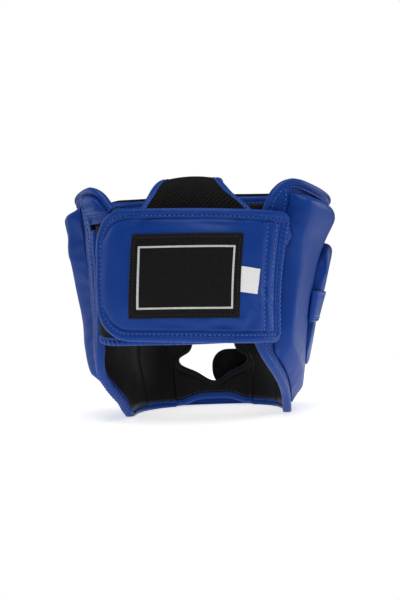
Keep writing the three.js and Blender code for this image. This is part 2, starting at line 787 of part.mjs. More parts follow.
// Air-mesh crown panel along its middle line, with a binding on each side.
function addCrown() {
  const knots = CROWN_LINE.map(({ y, z }) => new THREE.Vector3(0, y, z));
  const line = new THREE.CatmullRomCurve3(knots, false, 'centripetal');
  const spread = CROWN_LINE.map(({ x, width }) => new THREE.Vector2(x, width / 2));
  const widths = new THREE.SplineCurve(spread);
  const strip = (acrossSteps, reach, thickAt) => slab(evenSteps(STEPS.crown), acrossSteps, (s, t, layer) => {
    const place = line.getPoint(s);
    const tangent = line.getTangent(s);
    const outward = new THREE.Vector3(0, -tangent.z, tangent.y).normalize();
    const lean = widths.getPoint(s);
    const x = reach(lean.y, t);
    const depth = CROWN_ARCH * x ** 2 + (layer === 0 ? CROWN_THICK : 0);
    const grow = (layer === 0 ? -1 : 1) * thickAt(t);
    return new THREE.Vector3(lean.x + x, place.y, place.z).addScaledVector(outward, grow - depth);
  });
  const panel = strip(evenSteps(6), (half, t) => (half - BOUND - GAP) * (1 - 2 * t), () => 0);
  addPiece('crown_panel', panel, 'airMesh');
  const bead = (t) => CROWN_BEAD * Math.sin(Math.PI * (0.15 + 0.7 * t));
  const right = strip(evenSteps(3), (half, t) => half - BINDING.width * t, bead);
  const left = strip(evenSteps(3), (half, t) => BINDING.width * (1 - t) - half, bead);
  addPiece('crown_binding_right', right, 'leatherette');
  addPiece('crown_binding_left', left, 'leatherette');
}

// End of the chin strap, closed over the chin pad from the right cheek.
function addChinTab() {
  const lift = (angle) => {
    const onCheek = 1 - THREE.MathUtils.smoothstep(angle, SEAM.chin, SEAM.chin + CHIN_TAB.ramp);
    return THREE.MathUtils.lerp(PAD_THICK.chin, PAD_THICK.cheek, onCheek) + LAYER_GAP;
  };
  addPiece('chin_tab', patch({
    ...roundedEnds({ ...CHIN_TAB, toRadius: CHIN_TAB.roundEnd }),
    from: CHIN_TAB.from,
    to: CHIN_TAB.to,
    inner: lift,
    outer: (angle) => lift(angle) + CHIN_TAB.thick,
    columns: 10,
    rows: 4,
  }), 'lining');
}

function addBindings() {
  addPiece('rim_binding_right', binding(rightLow), 'leatherette');
  addPiece('rim_binding_left', binding(leftLow, { left: true }), 'leatherette');
  addPiece('chin_binding', binding(chinLow), 'leatherette');
  addPiece('top_binding_right', binding(rightTop), 'leatherette');
  addPiece('top_binding_left', binding(leftTop, { left: true }), 'leatherette');
  addPiece('face_binding', binding(faceLoop, { closed: true }), 'leatherette');
}

addShellPanels();
addPads();
addEar('right');
addEar('left');
addBackStrap();
addCrown();
addChinTab();
addBindings();

export default headgear;
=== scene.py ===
"""Looks of a padded open-face sparring headgear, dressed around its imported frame.

Sizes inside the classes are millimetres, and meshes are written in metres.
A place on the shell is an angle round the head (0 at the right ear, 90 at the brow,
-90 at the nape), a height, and an offset outwards.
"""

import logging
import math
from dataclasses import dataclass, field
from enum import Enum
from typing import Callable, Sequence, TypeVar

import bmesh
import bpy
import numpy as np
from mathutils import Matrix, Vector


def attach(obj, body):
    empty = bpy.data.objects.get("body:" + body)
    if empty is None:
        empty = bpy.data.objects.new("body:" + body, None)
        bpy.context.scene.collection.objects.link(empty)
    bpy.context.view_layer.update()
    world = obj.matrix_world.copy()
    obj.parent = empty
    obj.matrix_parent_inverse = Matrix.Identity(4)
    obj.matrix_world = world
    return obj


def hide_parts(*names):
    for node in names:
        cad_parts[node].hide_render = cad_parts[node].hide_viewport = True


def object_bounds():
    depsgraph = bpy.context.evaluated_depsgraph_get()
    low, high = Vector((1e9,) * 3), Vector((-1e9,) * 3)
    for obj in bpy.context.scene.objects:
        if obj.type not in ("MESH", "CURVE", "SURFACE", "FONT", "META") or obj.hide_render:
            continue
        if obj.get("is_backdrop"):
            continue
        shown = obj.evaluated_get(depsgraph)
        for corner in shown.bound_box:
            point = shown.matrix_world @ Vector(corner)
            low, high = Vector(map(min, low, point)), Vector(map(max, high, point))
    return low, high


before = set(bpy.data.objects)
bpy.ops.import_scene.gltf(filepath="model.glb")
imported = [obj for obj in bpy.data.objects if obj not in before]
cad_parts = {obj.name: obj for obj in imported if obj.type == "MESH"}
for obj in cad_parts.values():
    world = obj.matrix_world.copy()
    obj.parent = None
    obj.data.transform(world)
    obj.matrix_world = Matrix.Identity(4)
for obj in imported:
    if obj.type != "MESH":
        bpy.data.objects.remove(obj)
CAD_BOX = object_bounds()

LOG = logging.getLogger("headgear")
MM = 0.001
BODY = "root"

Array = np.ndarray
Values = float | Array
Colour = tuple[float, float, float]
Material = bpy.types.Material
Socket = bpy.types.NodeSocket
Pair = tuple[float, float]
Rows = Sequence[Pair]
Grid = tuple[Array, Array]
Edge = Callable[[Values], Array]
PlaceOnEdge = Callable[[float, Array], Array]
Choice = TypeVar("Choice")


class Slot(Enum):
    """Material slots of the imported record."""

    LEATHERETTE = "leatherette"
    LINING = "lining"
    AIR_MESH = "air_mesh"
    LOOP_PILE = "loop_pile"
    LABEL = "woven_label"
    RIBBON = "tag_ribbon"


class Side(Enum):
    """The wearer's side, as the sign of x."""

    RIGHT = 1
    LEFT = -1

    def of(self, piece: str) -> str:
        """Name of this side's piece."""
        return f"{piece}_{self.name.lower()}"

    def pick(self, right: Choice, left: Choice) -> Choice:
        """This side's one of two things."""
        return right if self is Side.RIGHT else left


# Numbers shared by several pieces

WAVE_SPREAD = (0.6, 1.7)
TINY = 1e-9


def smooth_step(share: Values) -> Array:
    """Eased rise from 0 to 1 as the share goes from 0 to 1."""
    held = np.clip(share, 0.0, 1.0)
    return held * held * (3.0 - 2.0 * held)


def bell(distance: Values, width: float, power: int = 2) -> Array:
    """Smooth bump, 1 high at no distance and gone a little beyond its width."""
    return np.exp(-((np.asarray(distance) / width) ** power))


def needle_marks(along: Array, pitch: float, width: float) -> Array:
    """Bumps of 1 where the needle went through, each a share of the pitch wide."""
    phase = (along / pitch) % 1.0
    return bell(np.minimum(phase, 1.0 - phase), width)


def unit(vectors: Array) -> Array:
    """Vectors brought to a length of 1."""
    return vectors / np.linalg.norm(vectors, axis=-1, keepdims=True)


def quarter_round(distance: Values, radius: float) -> Array:
    """Share of its height that a rounded rim has at a distance in from its edge."""
    share = np.clip(np.asarray(distance) / radius, 0.0, 1.0)
    return np.sqrt(np.maximum(1.0 - (1.0 - share) ** 2, 0.0))


def ripple(along: Values, wavelength: float, seed: int, waves: int = 4) -> Array:
    """Smooth uneven wave along a line.

    Args:
        along: Distances along the line.
        wavelength: Mean length of a wave.
        seed: Seed of the uneven phases.
        waves: How many waves are summed.

    Returns:
        Values of about -1 to 1.
    """
    draw = np.random.default_rng(seed)
    total = np.zeros(np.shape(along))
    for _ in range(waves):
        length = wavelength * draw.uniform(*WAVE_SPREAD)
        total = total + np.sin(2.0 * np.pi * (np.asarray(along) / length + draw.uniform()))
    return total / waves


def arc_lengths(points: Array) -> Array:
    """Distance of each point along its line, from the first one."""
    steps = np.linalg.norm(np.diff(points, axis=0), axis=-1)
    return np.concatenate([[0.0], np.cumsum(steps)])


def along_line(marks: Array, lengths: Array, rows: Array) -> Array:
    """Rows of a line at marks along it, where the rows' own distances are given."""
    return np.stack([np.interp(marks, lengths, column) for column in rows.T], axis=-1)


def rim_steps(length: float, first: float, last: float, step: float) -> Array:
    """Shares along a pad, closer together in its rounded rims.

    Args:
        length: Length of the pad.
        first: Radius of the rim at the start.
        last: Radius of the rim at the end.
        step: Usual distance between steps.

    Returns:
        Shares from 0 to 1.
    """
    rim = 1.0 - np.cos(np.linspace(0.0, np.pi / 2.0, 6))
    middle = max(2, int(round((length - first - last) / step)))
    inner = np.linspace(first, length - last, middle + 1)[1:-1]
    places = np.concatenate([rim * first, inner, length - rim[::-1] * last])
    return places / length


@dataclass(frozen=True)
class Table:
    """Smooth column of values over a key, by cubic steps between its rows."""

    keys: tuple[float, ...]
    values: tuple[float, ...]

    def at(self, key: Values) -> Array:
        """Value at a key, held at both ends."""
        keys = np.array(self.keys, float)
        values = np.array(self.values, float)
        last = len(keys) - 1
        index = np.clip(np.searchsorted(keys, key, side="right") - 1, 0, last - 1)
        before = np.maximum(index - 1, 0)
        after = np.minimum(index + 2, last)
        span = keys[index + 1] - keys[index]
        t = np.clip((key - keys[index]) / span, 0.0, 1.0)
        slope_in = (values[index + 1] - values[before]) / (keys[index + 1] - keys[before])
        slope_out = (values[after] - values[index]) / (keys[after] - keys[index])
        held = values[index] * (1 + 2 * t) * (1 - t) ** 2
        held = held + values[index + 1] * (3 - 2 * t) * t**2
        return held + span * (slope_in * t * (1 - t) ** 2 - slope_out * (1 - t) * t**2)


@dataclass(frozen=True)
class Flare:
    """How far the open left side stands out, by height, between angles back from the right ear."""

    out: Table
    rise: Pair
    fall: Pair

    def at(self, back: Array, z: Array) -> Array:
        """Distance to the left."""
        grown, gone = (smooth_step((back - start) / (end - start)) for start, end in (self.rise, self.fall))
        return grown * (1.0 - gone) * self.out.at(z)


@dataclass(frozen=True)
class Shell:
    """Surface that the panels, pads and straps lie on, as seen in a mirror for the left side."""

    heights: tuple[float, ...] = (-10, 20, 60, 100, 140, 165, 190)
    half_widths: tuple[float, ...] = (65, 67, 69.5, 74, 85, 97, 106)
    fronts: tuple[float, ...] = (92, 95, 95, 95, 98, 101, 102)
    backs: tuple[float, ...] = (100, 106, 108, 108, 107, 104, 101)
    squareness: float = 2.6
    probe: float = 0.5
    flares: tuple[Flare, ...] = (
        Flare(
            Table((0, 20, 40, 66, 100, 128, 150, 175), (1, 7, 11.5, 14.5, 13.7, 7.6, 0.6, 0)),
            (95.0, 135.0),
            (147.0, 178.0),
        ),
        Flare(
            Table((0, 25, 45, 60, 80, 120, 140, 152, 165, 180), (0, 3.3, 5.6, 4.4, 2, 1.5, 3, 2, -1.5, -4.5)),
            (110.0, 150.0),
            (205.0, 250.0),
        ),
    )
    side: Side = Side.RIGHT

    def _flare(self, angle: Array, z: Array) -> Array:
        """How far the open left side stands out, as a change of x."""
        turned = angle if self.side is Side.RIGHT else 180.0 - angle
        back = np.where(turned > 90.0, 360.0 - turned, -turned)
        return -self.side.value * sum(flare.at(back, z) for flare in self.flares)

    def point(self, angle: Values, z: Values) -> Array:
        """Point of the surface at an angle in degrees and a height."""
        angle, z = np.broadcast_arrays(np.asarray(angle, float), np.asarray(z, float))
        cosine, sine = np.cos(np.radians(angle)), np.sin(np.radians(angle))
        spread = np.abs(cosine) ** self.squareness + np.abs(sine) ** self.squareness
        radius = spread ** (-1.0 / self.squareness)
        front = Table(self.heights, self.fronts).at(z)
        back = Table(self.heights, self.backs).at(z)
        half = Table(self.heights, self.half_widths).at(z)
        reach = np.where(sine > 0, front, back)
        x = half * cosine * radius + self._flare(angle, z)
        return np.stack([x, reach * sine * radius, z], axis=-1)

    def normal(self, angle: Values, z: Values) -> Array:
        """Outward direction of the surface."""
        step = self.probe
        around = self.point(np.add(angle, step), z) - self.point(np.subtract(angle, step), z)
        upward = self.point(angle, np.add(z, step)) - self.point(angle, np.subtract(z, step))
        return unit(np.cross(around, upward))

    def place(self, angle: Values, z: Values, offset: Values) -> Array:
        """Point at an offset outwards from the surface."""
        return self.point(angle, z) + self.normal(angle, z) * np.asarray(offset)[..., None]

    def degree_length(self, angle: Values, z: Values) -> Array:
        """Millimetres along the surface for one degree."""
        ahead = self.point(np.add(angle, 0.5), z)
        behind = self.point(np.subtract(angle, 0.5), z)
        return np.linalg.norm(ahead - behind, axis=-1)


SHELLS = {side: Shell(side=side) for side in Side}
SHELL = SHELLS[Side.RIGHT]
DEGREE = 1.6


@dataclass(frozen=True)
class EdgeLine:
    """Line of places on the shell, each an angle and a height."""

    places: Array
    closed: bool = False

    @classmethod
    def through(cls, rows: Rows, spacing: float, closed: bool = False) -> "EdgeLine":
        """Smooth line of evenly spaced places through rows of an angle and a height."""
        knots = np.array(rows, float) * np.array([DEGREE, 1.0])
        dense = cls.spline(knots, closed)
        lengths = arc_lengths(dense)
        count = max(4, int(round(lengths[-1] / spacing)))
        marks = np.linspace(0.0, lengths[-1], count + 1)
        even = along_line(marks, lengths, dense)
        even = even[:-1] if closed else even
        return cls(even / np.array([DEGREE, 1.0]), closed)

    @staticmethod
    def spline(knots: Array, closed: bool, steps: int = 40) -> Array:
        """Dense centripetal line through knots.

        Args:
            knots: The knots, one row each.
            closed: Whether the line runs back to its start.
            steps: How many points lie between two knots.

        Returns:
            The dense points.
        """
        if closed:
            ring = np.vstack([knots[-1:], knots, knots[:2]])
        else:
            first = 2.0 * knots[0] - knots[1]
            last = 2.0 * knots[-1] - knots[-2]
            ring = np.vstack([first, knots, last])
        share = np.linspace(0.0, 1.0, steps, endpoint=False)[:, None]
        spans = []
        for p0, p1, p2, p3 in zip(ring, ring[1:], ring[2:], ring[3:]):
            d0, d1, d2 = (math.sqrt(np.linalg.norm(b - a)) for a, b in ((p0, p1), (p1, p2), (p2, p3)))
            slope_in = ((p1 - p0) / d0 - (p2 - p0) / (d0 + d1) + (p2 - p1) / d1) * d1
            slope_out = ((p2 - p1) / d1 - (p3 - p1) / (d1 + d2) + (p3 - p2) / d2) * d1
            held = p1 * (1 + 2 * share) * (1 - share) ** 2 + p2 * (3 - 2 * share) * share**2
            spans.append(held + slope_in * share * (1 - share) ** 2 - slope_out * (1 - share) * share**2)
        return np.vstack([*spans, ring[-2][None, :]])

    def moved(self, distance: float, even_out: int = 3) -> "EdgeLine":
        """The line moved sideways on the shell, to its left.

        Args:
            distance: How far it is moved.
            even_out: How many times its directions are evened out at corners.

        Returns:
            The moved line, with as many places.
        """
        scale = SHELL.degree_length(self.places[:, 0], self.places[:, 1])
        if self.closed:
            along = np.roll(self.places, -1, axis=0) - np.roll(self.places, 1, axis=0)
        else:
            along = np.gradient(self.places, axis=0)
        along = unit(along * np.stack([scale, np.ones_like(scale)], axis=-1))
        for _ in range(even_out):
            if self.closed:
                along = along + np.roll(along, 1, axis=0) + np.roll(along, -1, axis=0)
            else:
                along[1:-1] = along[:-2] + along[1:-1] + along[2:]
            along = unit(along)
        angle = self.places[:, 0] - distance * along[:, 1] / scale
        z = self.places[:, 1] + distance * along[:, 0]
        return EdgeLine(np.stack([angle, z], axis=-1), self.closed)

    def height_at(self, angle: Values) -> Array:
        """Height of the line at an angle."""
        order = np.argsort(self.places[:, 0], kind="stable")
        return np.interp(angle, self.places[order, 0], self.places[order, 1])

    def angle_at(self, z: Values) -> Array:
        """Angle of the line at a height."""
        order = np.argsort(self.places[:, 1], kind="stable")
        return np.interp(z, self.places[order, 1], self.places[order, 0])

    def on_shell(self, offset: Values, side: Side = Side.RIGHT) -> Array:
        """Points of the line at an offset from the shell."""
        return SHELLS[side].place(self.places[:, 0], self.places[:, 1], offset)

    def arcs(self) -> Array:
        """Distance of each place along the line."""
        return arc_lengths(self.on_shell(0.0))


# Finishes

NOISE_REACH = (0.3, 0.7)


@dataclass(frozen=True)
class Relief:
    """Fine relief: its grains' size and its depth in millimetres, its strength, and the detail of a noise."""

    size: float
    depth: float
    strength: float
    detail: float | None = None


class Nodes:
    """A material's node tree, built a node at a time."""

    def __init__(self, name: str) -> None:
        """Starts a material that has only its output and its shader."""
        self.material = bpy.data.materials.new(name)
        self.material.use_nodes = True
        self.tree = self.material.node_tree
        self.shader = self.tree.nodes["Principled BSDF"]
        coordinates = self.tree.nodes.new("ShaderNodeTexCoord")
        self.place = coordinates.outputs["Object"]

    def node(self, kind: str, inputs: dict[str, object] | None = None, **options: object) -> bpy.types.Node:
        """Adds a node with values or links for its inputs, and values of its own settings."""
        made = self.tree.nodes.new(kind)
        for name, value in options.items():
            setattr(made, name, value)
        for name, value in (inputs or {}).items():
            self.feed(made.inputs[name], value)
        return made

    def feed(self, socket: Socket, value: object) -> None:
        """Links a socket to an output, or sets its value."""
        if isinstance(value, Socket):
            self.tree.links.new(value, socket)
        else:
            socket.default_value = value

    def noise(self, size: float, detail: float = 3.0, roughness: float = 0.55) -> Socket:
        """Noise whose grains are a size in millimetres."""
        inputs = {"Vector": self.place, "Scale": 1.0 / (size * MM), "Detail": detail, "Roughness": roughness}
        return self.node("ShaderNodeTexNoise", inputs).outputs["Fac"]

    def cells(self, size: float) -> Socket:
        """Distance to the nearest cell of a size in millimetres."""
        inputs = {"Vector": self.place, "Scale": 1.0 / (size * MM)}
        return self.node("ShaderNodeTexVoronoi", inputs).outputs["Distance"]

    def spread(self, value: Socket, low: float, high: float) -> Socket:
        """Values of a noise spread from a low to a high number."""
        least, most = NOISE_REACH
        inputs = {"Value": value, "From Min": least, "From Max": most, "To Min": low, "To Max": high}
        return self.node("ShaderNodeMapRange", inputs).outputs["Result"]

    def between(self, share: Socket, first: Colour, second: Colour) -> Socket:
        """Colour between two others."""
        ramp = self.node("ShaderNodeValToRGB", {"Fac": share})
        for element, place, colour in zip(ramp.color_ramp.elements, NOISE_REACH, (first, second)):
            element.position = place
            element.color = (*colour, 1.0)
        return ramp.outputs["Color"]

    def bump(
        self,
        height: Socket,
        depth: float,
        strength: float,
        under: Socket | None = None,
    ) -> Socket:
        """Relief of a depth in millimetres, on top of another where one is given."""
        inputs = {"Height": height, "Distance": depth * MM, "Strength": strength}
        if under is not None:
            inputs["Normal"] = under
        return self.node("ShaderNodeBump", inputs).outputs["Normal"]

    def relief(self, relief: Relief, under: Socket | None = None) -> Socket:
        """Fine relief of cells, or of a noise where it has a detail."""
        if relief.detail is None:
            height = self.cells(relief.size)
        else:
            height = self.noise(relief.size, relief.detail)
        return self.bump(height, relief.depth, relief.strength, under)

    def finish(self, **values: object) -> Material:
        """Sets the shader's inputs, named with underscores for blanks, and gives the material."""
        for name, value in values.items():
            self.feed(self.shader.inputs[name.replace("_", " ")], value)
        return self.material


@dataclass(frozen=True)
class Leatherette:
    """Coated blue leatherette: fine grain, soft gloss, paler where edges rub."""

    name: str = "blue_leatherette"
    deep: Colour = (0.006, 0.04, 0.242)
    pale: Colour = (0.008, 0.0485, 0.278)
    rubbed: Colour = (0.014, 0.069, 0.34)
    worn_edges: Pair = (0.52, 0.62)
    most_worn: float = 0.7
    mottle: float = 28.0
    cloud: float = 9.0
    gloss: Pair = (0.36, 0.46)
    shine: float = 0.2
    tint: Colour = (0.68, 0.86, 1.0)
    grain: Relief = Relief(0.75, 0.05, 0.35)
    creases: Relief = Relief(6.0, 0.12, 0.3, 4.0)

    def material(self) -> Material:
        """Builds the material."""
        nodes = Nodes(self.name)
        body = nodes.between(nodes.noise(self.mottle), self.deep, self.pale)
        edge = nodes.node("ShaderNodeNewGeometry").outputs["Pointiness"]
        least, most = self.worn_edges
        worn = {"Value": edge, "From Min": least, "From Max": most, "To Min": 0.0, "To Max": self.most_worn}
        wear = nodes.node("ShaderNodeMapRange", worn).outputs["Result"]
        colour = nodes.node("ShaderNodeMix", data_type="RGBA")
        nodes.feed(colour.inputs["Factor"], wear)
        nodes.feed(colour.inputs["A"], body)
        nodes.feed(colour.inputs["B"], (*self.rubbed, 1.0))
        return nodes.finish(
            Base_Color=colour.outputs["Result"],
            Roughness=nodes.spread(nodes.noise(self.cloud), *self.gloss),
            Normal=nodes.relief(self.creases, nodes.relief(self.grain)),
            Specular_IOR_Level=self.shine,
            Specular_Tint=(*self.tint, 1.0),
        )


@dataclass(frozen=True)
class Lining:
    """Smooth black lining, a little greyer where it is handled."""

    name: str = "black_lining"
    deep: Colour = (0.0022, 0.0024, 0.0027)
    pale: Colour = (0.0038, 0.0041, 0.0047)
    mottle: float = 22.0
    cloud: float = 12.0
    gloss: Pair = (0.46, 0.6)
    shine: float = 0.2
    grain: Relief = Relief(0.6, 0.04, 0.3)
    folds: Relief = Relief(14.0, 0.3, 0.25, 3.0)

    def material(self) -> Material:
        """Builds the material."""
        nodes = Nodes(self.name)
        return nodes.finish(
            Base_Color=nodes.between(nodes.noise(self.mottle), self.deep, self.pale),
            Roughness=nodes.spread(nodes.noise(self.cloud), *self.gloss),
            Normal=nodes.relief(self.folds, nodes.relief(self.grain)),
            Specular_IOR_Level=self.shine,
        )


@dataclass(frozen=True)
class Cloth:
    """Dark cloth of threads: air mesh or loop pile."""

    name: str
    deep: Colour
    pale: Colour
    thread: float
    depth: float
    roughness: Pair = (0.78, 0.92)
    cloud: float = 5.0
    shine: float = 0.12
    sheen: float = 0.06
    sheen_spread: float = 0.5
    strength: float = 0.6
    nap_threads: float = 4.0
    nap_strength: float = 0.3
    colour_threads: float = 6.0
    detail: float = 4.0

    def material(self) -> Material:
        """Builds the material."""
        nodes = Nodes(self.name)
        weave = nodes.relief(Relief(self.thread, self.depth, self.strength))
        nap = Relief(self.thread * self.nap_threads, self.depth, self.nap_strength, self.detail)
        shade = nodes.noise(self.thread * self.colour_threads, self.detail)
        return nodes.finish(
            Base_Color=nodes.between(shade, self.deep, self.pale),
            Roughness=nodes.spread(nodes.noise(self.cloud), *self.roughness),
            Normal=nodes.relief(nap, weave),
            Specular_IOR_Level=self.shine,
            Sheen_Weight=self.sheen,
            Sheen_Roughness=self.sheen_spread,
        )


@dataclass(frozen=True)
class Woven:
    """Close weave of fine threads in two directions."""

    name: str
    deep: Colour
    pale: Colour
    thread: float = 0.45
    depth: float = 0.06
    strength: float = 0.5
    waviness: float = 0.4
    speckle: float = 1.4
    cloud: float = 3.0
    roughness: Pair = (0.72, 0.86)
    shine: float = 0.15
    sheen: float = 0.04
    wave_scale: float = 0.05

    def material(self) -> Material:
        """Builds the material."""
        nodes = Nodes(self.name)
        crossing = nodes.node("ShaderNodeMath", operation="MAXIMUM")
        scale = self.wave_scale / (self.thread * MM)
        for socket, direction in zip(crossing.inputs, ("X", "Z")):
            inputs = {"Vector": nodes.place, "Scale": scale, "Distortion": self.waviness}
            wave = nodes.node("ShaderNodeTexWave", inputs, bands_direction=direction)
            nodes.feed(socket, wave.outputs["Fac"])
        return nodes.finish(
            Base_Color=nodes.between(nodes.noise(self.speckle, 4.0), self.deep, self.pale),
            Roughness=nodes.spread(nodes.noise(self.cloud), *self.roughness),
            Normal=nodes.bump(crossing.outputs["Value"], self.depth, self.strength),
            Specular_IOR_Level=self.shine,
            Sheen_Weight=self.sheen,
        )


@dataclass(frozen=True)
class Thread:
    """Glossy twisted sewing thread."""

    name: str
    deep: Colour
    pale: Colour
    speckle: float = 2.2
    cloud: float = 1.2
    gloss: Pair = (0.4, 0.55)
    twist: Relief = Relief(0.25, 0.05, 0.5, 2.0)

    def material(self) -> Material:
        """Builds the material."""
        nodes = Nodes(self.name)
        return nodes.finish(
            Base_Color=nodes.between(nodes.noise(self.speckle), self.deep, self.pale),
            Roughness=nodes.spread(nodes.noise(self.cloud), *self.gloss),
            Normal=nodes.relief(self.twist),
        )


MESH = Cloth("black_air_mesh", (0.0012, 0.0012, 0.0013), (0.003, 0.003, 0.0032), 0.5, 0.12, sheen=0.02)
PILE = Cloth("black_loop_pile", (0.002, 0.002, 0.0022), (0.008, 0.008, 0.0085), 0.8, 0.4)
LABEL = Woven("black_woven_label", (0.0036, 0.0037, 0.0038), (0.0064, 0.0065, 0.0067))
LABEL_FRAME = Woven("white_woven_frame", (0.5, 0.5, 0.5), (0.68, 0.68, 0.67))
RIBBON = Woven("white_ribbon", (0.8, 0.8, 0.81), (0.88, 0.88, 0.88), 0.35)
BLUE_THREAD = Thread("blue_thread", (0.02, 0.105, 0.46), (0.04, 0.165, 0.6))
BLACK_THREAD = Thread("black_thread", (0.006, 0.006, 0.0065), (0.014, 0.014, 0.015))


@dataclass
class Finishes:
    """The materials of the headgear, one of each."""

    leatherette: Material = field(default_factory=Leatherette().material)
    lining: Material = field(default_factory=Lining().material)
    air_mesh: Material = field(default_factory=MESH.material)
    loop_pile: Material = field(default_factory=PILE.material)
    label: Material = field(default_factory=LABEL.material)
    frame_thread: Material = field(default_factory=LABEL_FRAME.material)
    ribbon: Material = field(default_factory=RIBBON.material)
    blue_thread: Material = field(default_factory=BLUE_THREAD.material)
    black_thread: Material = field(default_factory=BLACK_THREAD.material)


# Mesh making


@dataclass
class MeshParts:
    """Points and faces gathered for one piece, with the number of a finish for each face."""

    points: list[Array] = field(default_factory=list)
    faces: list[Sequence[int]] = field(default_factory=list)
    finishes: list[int] = field(default_factory=list)
    count: int = 0

    def add(self, points: Array, faces: Sequence[Sequence[int]], finish: int = 0) -> int:
        """Adds points and the faces between them, and gives the number of the first point."""
        first = self.count
        self.points.append(np.asarray(points, float).reshape(-1, 3))
        self.count += len(self.points[-1])
        self.faces.extend([[first + corner for corner in face] for face in faces])
        self.finishes.extend([finish] * len(faces))
        return first

    def slab(self, outer: Array, inner: Array, inner_finish: int = 0, rim_finish: int = 0) -> None:
        """Adds a closed slab between an outer and an inner grid of points.

        Args:
            outer: Grid of the outer face, which takes the first finish.
            inner: Grid of the inner face, of the same shape.
            inner_finish: Finish of the inner face.
            rim_finish: Finish of the rims.
        """
        columns, rows = outer.shape[:2]
        numbers = np.arange(columns * rows).reshape(columns, rows)
        under = numbers + columns * rows
        face = grid_faces(numbers)
        rim = np.concatenate([numbers[:, 0], numbers[-1, 1:], numbers[-2::-1, -1], numbers[0, -2:0:-1]])
        rim_under = rim + columns * rows
        walls = np.stack([rim, rim_under, np.roll(rim_under, -1), np.roll(rim, -1)], axis=-1).tolist()
        back = [quad[::-1] for quad in grid_faces(under)]
        points = np.concatenate([outer.reshape(-1, 3), inner.reshape(-1, 3)])
        self.add(points, face + walls + back)
        marks = [0] * len(face) + [rim_finish] * len(walls) + [inner_finish] * len(back)
        self.finishes[-len(marks) :] = marks

    def tube(self, rings: Array, closed: bool, split: int | None = None) -> None:
        """Adds a tube through rings of points, capped where it isn't closed.

        Args:
            rings: Rings along the tube, each with as many points.
            closed: Whether the last ring joins the first.
            split: Side of the ring from which the second finish holds.
        """
        count, sides = rings.shape[:2]
        numbers = np.arange(count * sides).reshape(count, sides)
        ahead = np.roll(numbers, -1, axis=0) if closed else numbers[1:]
        behind = numbers if closed else numbers[:-1]
        quads = np.stack(
            [behind, ahead, np.roll(ahead, -1, axis=1), np.roll(behind, -1, axis=1)], axis=-1
        )
        first = self.add(rings, quads.reshape(-1, 4).tolist())
        if split is not None:
            marks = np.broadcast_to(np.arange(sides) >= split, quads.shape[:2]).astype(int)
            self.finishes[-marks.size :] = marks.reshape(-1).tolist()
        if not closed:
            caps = [(first + numbers[0]).tolist(), (first + numbers[-1][::-1]).tolist()]
            self.faces.extend(caps)
            self.finishes.extend([0, 0])

    def build(
        self, name: str, materials: Sequence[Material], side: Side = Side.RIGHT, smoothing: int = 0
    ) -> bpy.types.Object:
        """Makes the mesh object.

        Args:
            name: Name of the piece.
            materials: Materials that the finishes' numbers stand for.
            side: The wearer's side; a left piece is the mirrored right one.
            smoothing: Levels of subdivision.

        Returns:
            The object, linked into the scene.
        """
        points = np.concatenate(self.points) * MM * np.array([side.value, 1.0, 1.0])
        mesh = bpy.data.meshes.new(name)
        mesh.from_pydata(points.tolist(), [], self.faces)
        for material in materials:
            mesh.materials.append(material)
        mesh.polygons.foreach_set("material_index", np.array(self.finishes, np.int32))
        mesh.shade_smooth()
        turn_outwards(mesh)
        made = bpy.data.objects.new(name, mesh)
        bpy.context.scene.collection.objects.link(made)
        if smoothing:
            subdivide(made, smoothing)
        return made


def grid_faces(numbers: Array) -> list[list[int]]:
    """Quads of a grid of point numbers."""
    corners = [numbers[:-1, :-1], numbers[1:, :-1], numbers[1:, 1:], numbers[:-1, 1:]]
    return np.stack(corners, axis=-1).reshape(-1, 4).tolist()


def turn_outwards(mesh: bpy.types.Mesh) -> None:
    """Turns a mesh's faces outwards, each connected part by itself."""
    working = bmesh.new()
    working.from_mesh(mesh)
    bmesh.ops.recalc_face_normals(working, faces=working.faces)
    working.to_mesh(mesh)
    working.free()
    mesh.update()


def subdivide(piece: bpy.types.Object, levels: int) -> None:
    """Smooths a piece by subdivision."""
    subdivision = piece.modifiers.new("smooth", "SUBSURF")
    subdivision.levels = levels
    subdivision.render_levels = levels


def dress(piece: bpy.types.Object, slot: Slot, node: str | None = None, fill: float | None = None) -> None:
    """Puts a finished piece on the frame.

    Args:
        piece: The piece.
        slot: The record's slot that its finish comes from.
        node: The frame's node that it stands for.
        fill: How tightly it is padded, where it is; not used.
    """
    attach(piece, BODY)
    if node is not None:
        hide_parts(node)
    LOG.info("%s: %d faces, %s", piece.name, len(piece.data.polygons), slot.value)


